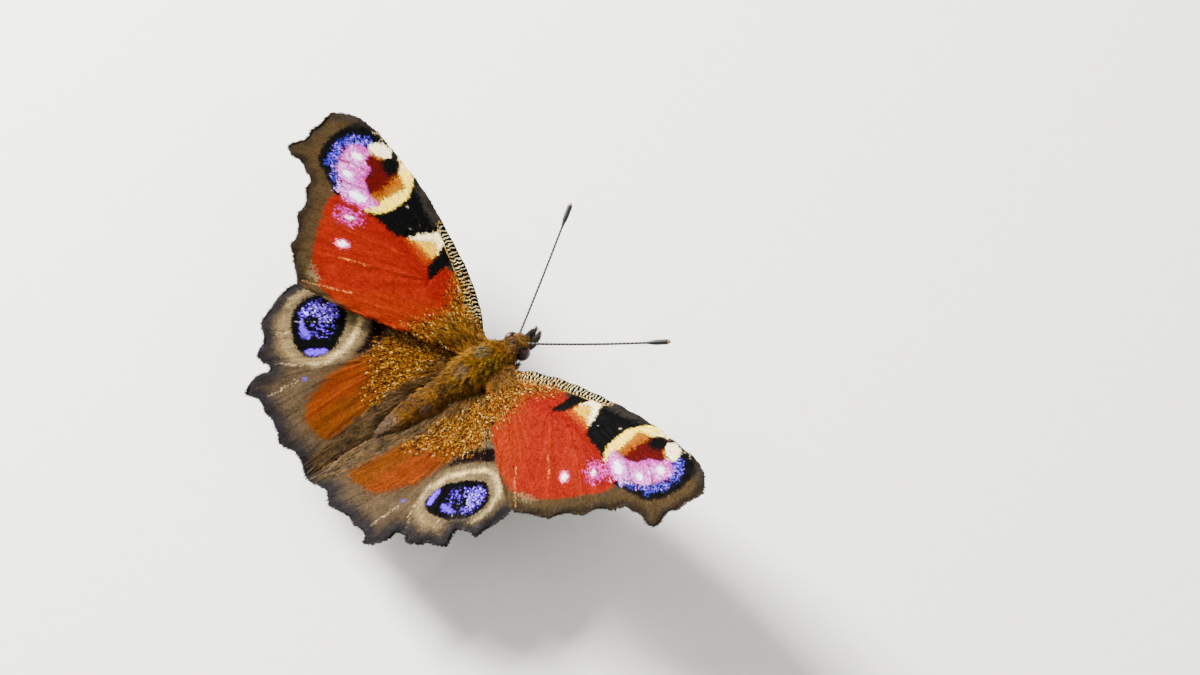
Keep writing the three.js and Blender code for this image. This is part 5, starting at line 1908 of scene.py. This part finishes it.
@dataclass
class Antennae:
    """The two feelers: ringed shafts that end in clubs.

    Each aim is the feeler's turn to the side and its rise, in degrees, left and then right.
    """

    finish: FeelerRings = FeelerRings()
    root: Triple = (0.6, -4.6, 7.15)
    aims: tuple[Pair, Pair] = ((33.8, 14.9), (39.4, 9.1))
    shaft_radius: float = 0.12
    club_radius: float = 0.28
    sag: float = 0.3
    rings: int = 330
    sides: int = 14
    ring_swell: float = 0.06
    foot_swell: float = 1.7
    foot_rings: int = 8
    tip_length: float = 0.5

    def build(self, shop: Workshop) -> None:
        """Builds the feelers and hands them over.

        Args:
            shop: The workshop that delivers the pieces.
        """
        length, club, segment = self.finish.length, self.finish.club, self.finish.segment
        share = np.sin(np.linspace(0, math.pi / 2, self.rings))
        run = share * length
        swell = ease(run, length - club - 0.4, length - club + 0.9)
        shaft = self.shaft_radius * (1 + self.ring_swell * np.sin(run / segment * math.tau))
        radii = shaft * (1 - swell) + swell * self.club_radius
        radii[:self.foot_rings] *= np.linspace(self.foot_swell, 1.0, self.foot_rings)
        radii *= np.sqrt(1 - np.clip(1 - (length - run) / self.tip_length, 0, 0.9999) ** 2)
        along = np.append(np.repeat(run, self.sides), run[[0, -1]])
        for (side, hand), aim in zip(HANDS.items(), self.aims):
            turn, rise = (math.radians(angle) for angle in aim)
            level = math.cos(rise)
            ahead = np.array([math.sin(turn) * level, -math.cos(turn) * level, math.sin(rise)])
            path = np.array(self.root) + run[:, None] * ahead
            path[:, 2] -= 4 * self.sag * share * (1 - share)
            mesh = closed_mesh(f"antenna_{hand}_rings", *tube(path * (side, 1, 1), radii, self.sides))
            give(mesh, "along", along)
            shop.deliver(mesh, [self.finish], [f"antenna_{hand}"])


@dataclass
class Palps:
    """The two brush-like palps in front of the face."""

    shell: Cuticle
    hair: HairCoat
    brush: Coat = Coat("palp_hair", Blade.HAIR, "reach", 0.075, (0.4, 0.75), (10, 34), 20.0, 31)
    path: tuple[Triple, ...] = (
        (0.34, -4.4, 5.95), (0.4, -5.1, 5.9), (0.42, -5.6, 6.1), (0.38, -6.15, 6.55), (0.33, -6.5, 6.9))
    radii: tuple[float, ...] = (0.3, 0.34, 0.3, 0.2, 0.05)
    step: float = 0.08
    sides: int = 14

    def build(self, shop: Workshop) -> None:
        """Builds the palps and hands them over.

        Args:
            shop: The workshop that delivers the pieces.
        """
        rows = even_steps(curve_through(np.column_stack([self.path, self.radii])), self.step)
        for side, hand in HANDS.items():
            path = rows[:, :3] * (side, 1, 1)
            mesh = closed_mesh(f"palp_{hand}_skin", *tube(path, rows[:, 3], self.sides))
            comb(mesh, path)
            hairs = replace(self.brush, name=f"palp_{hand}_hair").grow(mesh, shop.finish(self.hair))
            shop.deliver(hairs)
            shop.deliver(mesh, [self.shell], [f"palp_{hand}"])


@dataclass
class Proboscis:
    """The tongue, coiled like a watch spring under the face.

    The ripple is the share by which its width varies, and its turn from step to step, in radians.
    """

    shell: Cuticle = Cuticle("bare_chitin_tube", "#2A160C", "#5A3420", 0.35, 0.1)
    centre: Triple = (0.0, -4.92, 4.45)
    lead: tuple[Triple, Triple] = ((0.0, -4.15, 5.8), (0.0, -4.27, 5.1))
    outer_radius: float = 0.62
    pitch: float = 0.15
    turns: float = 2.6
    tube_radius: float = 0.075
    steps: int = 40
    ripple: Pair = (0.08, 1.9)

    def build(self, shop: Workshop) -> None:
        """Builds the tongue and hands it over.

        Args:
            shop: The workshop that delivers the pieces.
        """
        angles = np.linspace(0, self.turns * math.tau, int(self.steps * self.turns))
        reach = self.outer_radius - self.pitch * angles / math.tau
        coil = self.centre + np.column_stack([0 * angles, reach * np.cos(angles), -reach * np.sin(angles)])
        path = np.concatenate([curve_through([*self.lead, coil[0]])[:-1], coil])
        share, turn = self.ripple
        radii = self.tube_radius * (1 + share * np.sin(np.arange(len(path)) * turn))
        mesh = closed_mesh("proboscis_coil", *tube(path, radii))
        shop.deliver(mesh, [self.shell], ["proboscis"])


@dataclass
class Legs:
    """Six legs: the short brush-like forelegs, and four walking legs with their feet on the floor.

    The bends are the joints of the left legs, from the hip to the toes. The thickness is the radius at
    each end of hip, thigh and shin. Claw and spur are a length, a spread and a radius.
    """

    shell: Cuticle
    hair: HairCoat
    fore: tuple[Triple, ...] = ((0.75, -1.0, 4.6), (0.85, -2.5, 3.75), (0.8, -3.6, 4.5))
    middle: tuple[Triple, ...] = (
        (1.05, 0.4, 4.6), (1.75, 0.2, 3.35), (4.9, -0.7, 4.9), (6.5, -1.3, 0.22), (9.9, -2.6, 0.14))
    hind: tuple[Triple, ...] = (
        (0.95, 2.5, 4.6), (1.6, 2.9, 3.4), (4.3, 4.8, 5.0), (5.7, 6.2, 0.22), (8.1, 9.0, 0.14))
    thickness: tuple[Pair, Pair, Pair] = ((0.36, 0.26), (0.3, 0.17), (0.17, 0.13))
    toe_radius: float = 0.13
    toes: tuple[float, ...] = (0.0, 0.42, 0.6, 0.74, 0.87, 1.0)
    belly: float = 0.28
    thigh_arch: float = 0.06
    claw: Triple = (0.34, 0.13, 0.045)
    claw_bend: Pair = (0.16, 0.24)
    spur: Triple = (0.45, 0.18, 0.035)
    spur_fall: Pair = (0.25, 0.1)
    foreleg_radii: tuple[float, ...] = (0.26, 0.2, 0.13, 0.03)
    brush: Coat = Coat("brush", Blade.HAIR, "leg_cover", 0.12, (0.35, 0.6), (8, 24), 12.0, 41, variants=2)
    bristles: Coat = Coat(
        "bristles", Blade.HAIR, "leg_cover", 0.2, (0.16, 0.3), (8, 24), 12.0, 41, variants=2)

    def foreleg(self, points: np.ndarray) -> list[tuple[np.ndarray, list]]:
        """Shapes one of the small folded legs.

        Args:
            points: Its joints.

        Returns:
            Its one closed part.
        """
        path = even_steps(curve_through(points), 0.08)
        radii = np.interp(np.linspace(0, 1, len(path)), [0, 0.5, 0.9, 1], self.foreleg_radii)
        return [tube(path, radii)]

    def walking_leg(self, points: np.ndarray) -> list[tuple[np.ndarray, list]]:
        """Shapes hip, thigh, shin, five foot joints, shin spurs and a pair of claws.

        Args:
            points: Its joints.

        Returns:
            Its closed parts.
        """
        parts = []
        share = np.linspace(0, 1, 18)
        belly = 1 + self.belly * np.sin(math.pi * np.clip(share * 1.25, 0, 1))
        ends = np.sqrt(np.clip(np.minimum(share, 1 - share) / 0.04, 0.25, 1))
        arches = (0.0, self.thigh_arch, 0.0)
        for (thick, thin), start, stop, arch in zip(self.thickness, points, points[1:], arches):
            path = start + share[:, None] * (stop - start)
            path[:, 2] += arch * np.linalg.norm(stop - start) * np.sin(math.pi * share)
            parts.append(tube(path, (thick + (thin - thick) * share) * belly * ends))
        ankle, tip = points[3:]
        ahead = (tip - ankle) / np.linalg.norm(tip - ankle)
        share = np.linspace(0, 1, 9)
        ends = np.sqrt(np.clip(np.minimum(share, 1 - share) / 0.06, 0.3, 1))
        for start, stop in zip(self.toes, self.toes[1:]):
            radii = self.toe_radius * (0.8 + 0.3 * share) * ends
            path = ankle + (start + (stop - start) * share)[:, None] * (tip - ankle)
            path[:, 2] = np.maximum(path[:, 2], radii + 0.005)
            parts.append(tube(path, radii, 10))
        up = np.array([0.0, 0.0, 1.0])
        across = np.cross(ahead, up)
        t = np.linspace(0, 1, 8)[:, None]
        (reach, spread, thick), (length, splay, thin) = self.claw, self.spur
        (rise, droop), (height, fall) = self.claw_bend, self.spur_fall
        for lean in (1, -1):
            claw = tip + ahead * reach * t + across * lean * spread * t + up * (rise * t - droop * t**2)
            claw[:, 2] = np.maximum(claw[:, 2], 0.03)
            spur = ankle + up * height + (ahead * length + across * lean * splay - up * fall) * t
            parts.append(tube(claw, thick * (1 - 0.75 * t[:, 0]), 8))
            parts.append(tube(spur, thin * (1 - 0.7 * t[:, 0]), 7))
        return parts

    def build(self, shop: Workshop) -> None:
        """Builds the legs and hands them over.

        Args:
            shop: The workshop that delivers the pieces.
        """
        for side, hand in HANDS.items():
            for name, bends, shape, coat in (
                    ("foreleg", self.fore, self.foreleg, self.brush),
                    ("midleg", self.middle, self.walking_leg, self.bristles),
                    ("hindleg", self.hind, self.walking_leg, self.bristles)):
                points = np.array(bends) * (side, 1, 1)
                places, faces = joined(shape(points))
                mesh = closed_mesh(f"{name}_{hand}_skin", places, faces)
                comb(mesh, even_steps(points, 0.2))
                give(mesh, "leg_cover", ease(places[:, 2], 0.5, 1.6))
                hairs = replace(coat, name=f"{name}_{hand}_hair").grow(mesh, shop.finish(self.hair))
                shop.deliver(hairs)
                shop.deliver(mesh, [self.shell], [f"{name}_{hand}"])


@dataclass
class Studio:
    """Floor, soft light and the camera at the photograph's angle, all in the frame of the solids.

    Each light is its name, its place, its width and its power in watts.
    """

    board: Backdrop = Backdrop()
    place: Triple = (-156.892, 88.035, 319.020)
    right: Triple = (-0.56861, -0.82256, -0.00890)
    up: Triple = (0.70675, -0.49403, 0.50640)
    back: Triple = (-0.42093, 0.28166, 0.86226)
    lens: float = 106.518
    sensor: float = 36.0
    aim: Triple = (0, 0, 6)
    half_floor: float = 1200.0
    lights: tuple[tuple[str, Triple, float, float], ...] = (
        ("key_light", (385, 70, 265), 170, 15.0), ("fill_light", (-260, -120, 280), 300, 0.9))
    sky: str = "#F2F0EC"
    sky_strength: float = 0.72

    def build(self, shop: Workshop) -> None:
        """Sets up the floor, the lights, the world and the camera.

        Args:
            shop: The workshop that builds the floor's finish.
        """
        half = self.half_floor * MM
        corners = [(x * half, y * half, 0) for x, y in ((-1, -1), (1, -1), (1, 1), (-1, 1))]
        mesh = build_mesh("floor", corners, [(0, 1, 2, 3)])
        mesh.materials.append(shop.finish(self.board))
        camera_data = bpy.data.cameras.new("camera")
        camera_data.lens, camera_data.sensor_width = self.lens, self.sensor
        camera_data.clip_start, camera_data.clip_end = 0.01, 5.0
        floor, camera = bpy.data.objects.new("floor", mesh), bpy.data.objects.new("camera", camera_data)
        turn = Matrix((self.right, self.up, self.back)).transposed().to_4x4()
        camera.matrix_world = Matrix.Translation(Vector(self.place) * MM) @ turn
        lamps = []
        for name, place, width, watts in self.lights:
            data = bpy.data.lights.new(name, "AREA")
            data.size, data.energy = width * MM, watts
            lamp = bpy.data.objects.new(name, data)
            lamp.location = Vector(place) * MM
            ahead = Vector(self.aim) * MM - lamp.location
            lamp.rotation_euler = ahead.to_track_quat("-Z", "Y").to_euler()
            lamps.append(lamp)
        for thing in (floor, camera, *lamps):
            bpy.context.scene.collection.objects.link(thing)
        bpy.context.scene.camera = camera
        world = bpy.data.worlds.new("pale_room")
        world.use_nodes = True
        room = world.node_tree.nodes["Background"].inputs
        room[0].default_value, room[1].default_value = colour(self.sky), self.sky_strength
        bpy.context.scene.world = world


def main() -> None:
    """Builds the model's sub-assemblies in order, then the studio."""
    logging.basicConfig(level=logging.INFO, format="%(name)s %(message)s")
    shop = Workshop()
    shell = Cuticle("tanned_chitin_shell", "#221810", "#54402E")
    bristle = HairCoat("dark_hair_scales", "#150F0C", "#473D35", "#201914")
    for part in (
            Forewing(1, (14.9, -33.0, 2.1), 1), Forewing(-1, (18.9, -23.0, 0.8), 2, bald=2.6),
            Hindwing(1, (10.5, -1.5, 0.1), 3),
            Hindwing(-1, (11.2, 1.5, -1.3), 4, costa=NARROW_COSTA, outer=TORN_MARGIN, eye_width=0.8),
            Body(), Eyes(), Palps(shell, bristle), Proboscis(), Antennae(), Legs(shell, bristle), Studio()):
        part.build(shop)


if __name__ == "__main__":
    main()
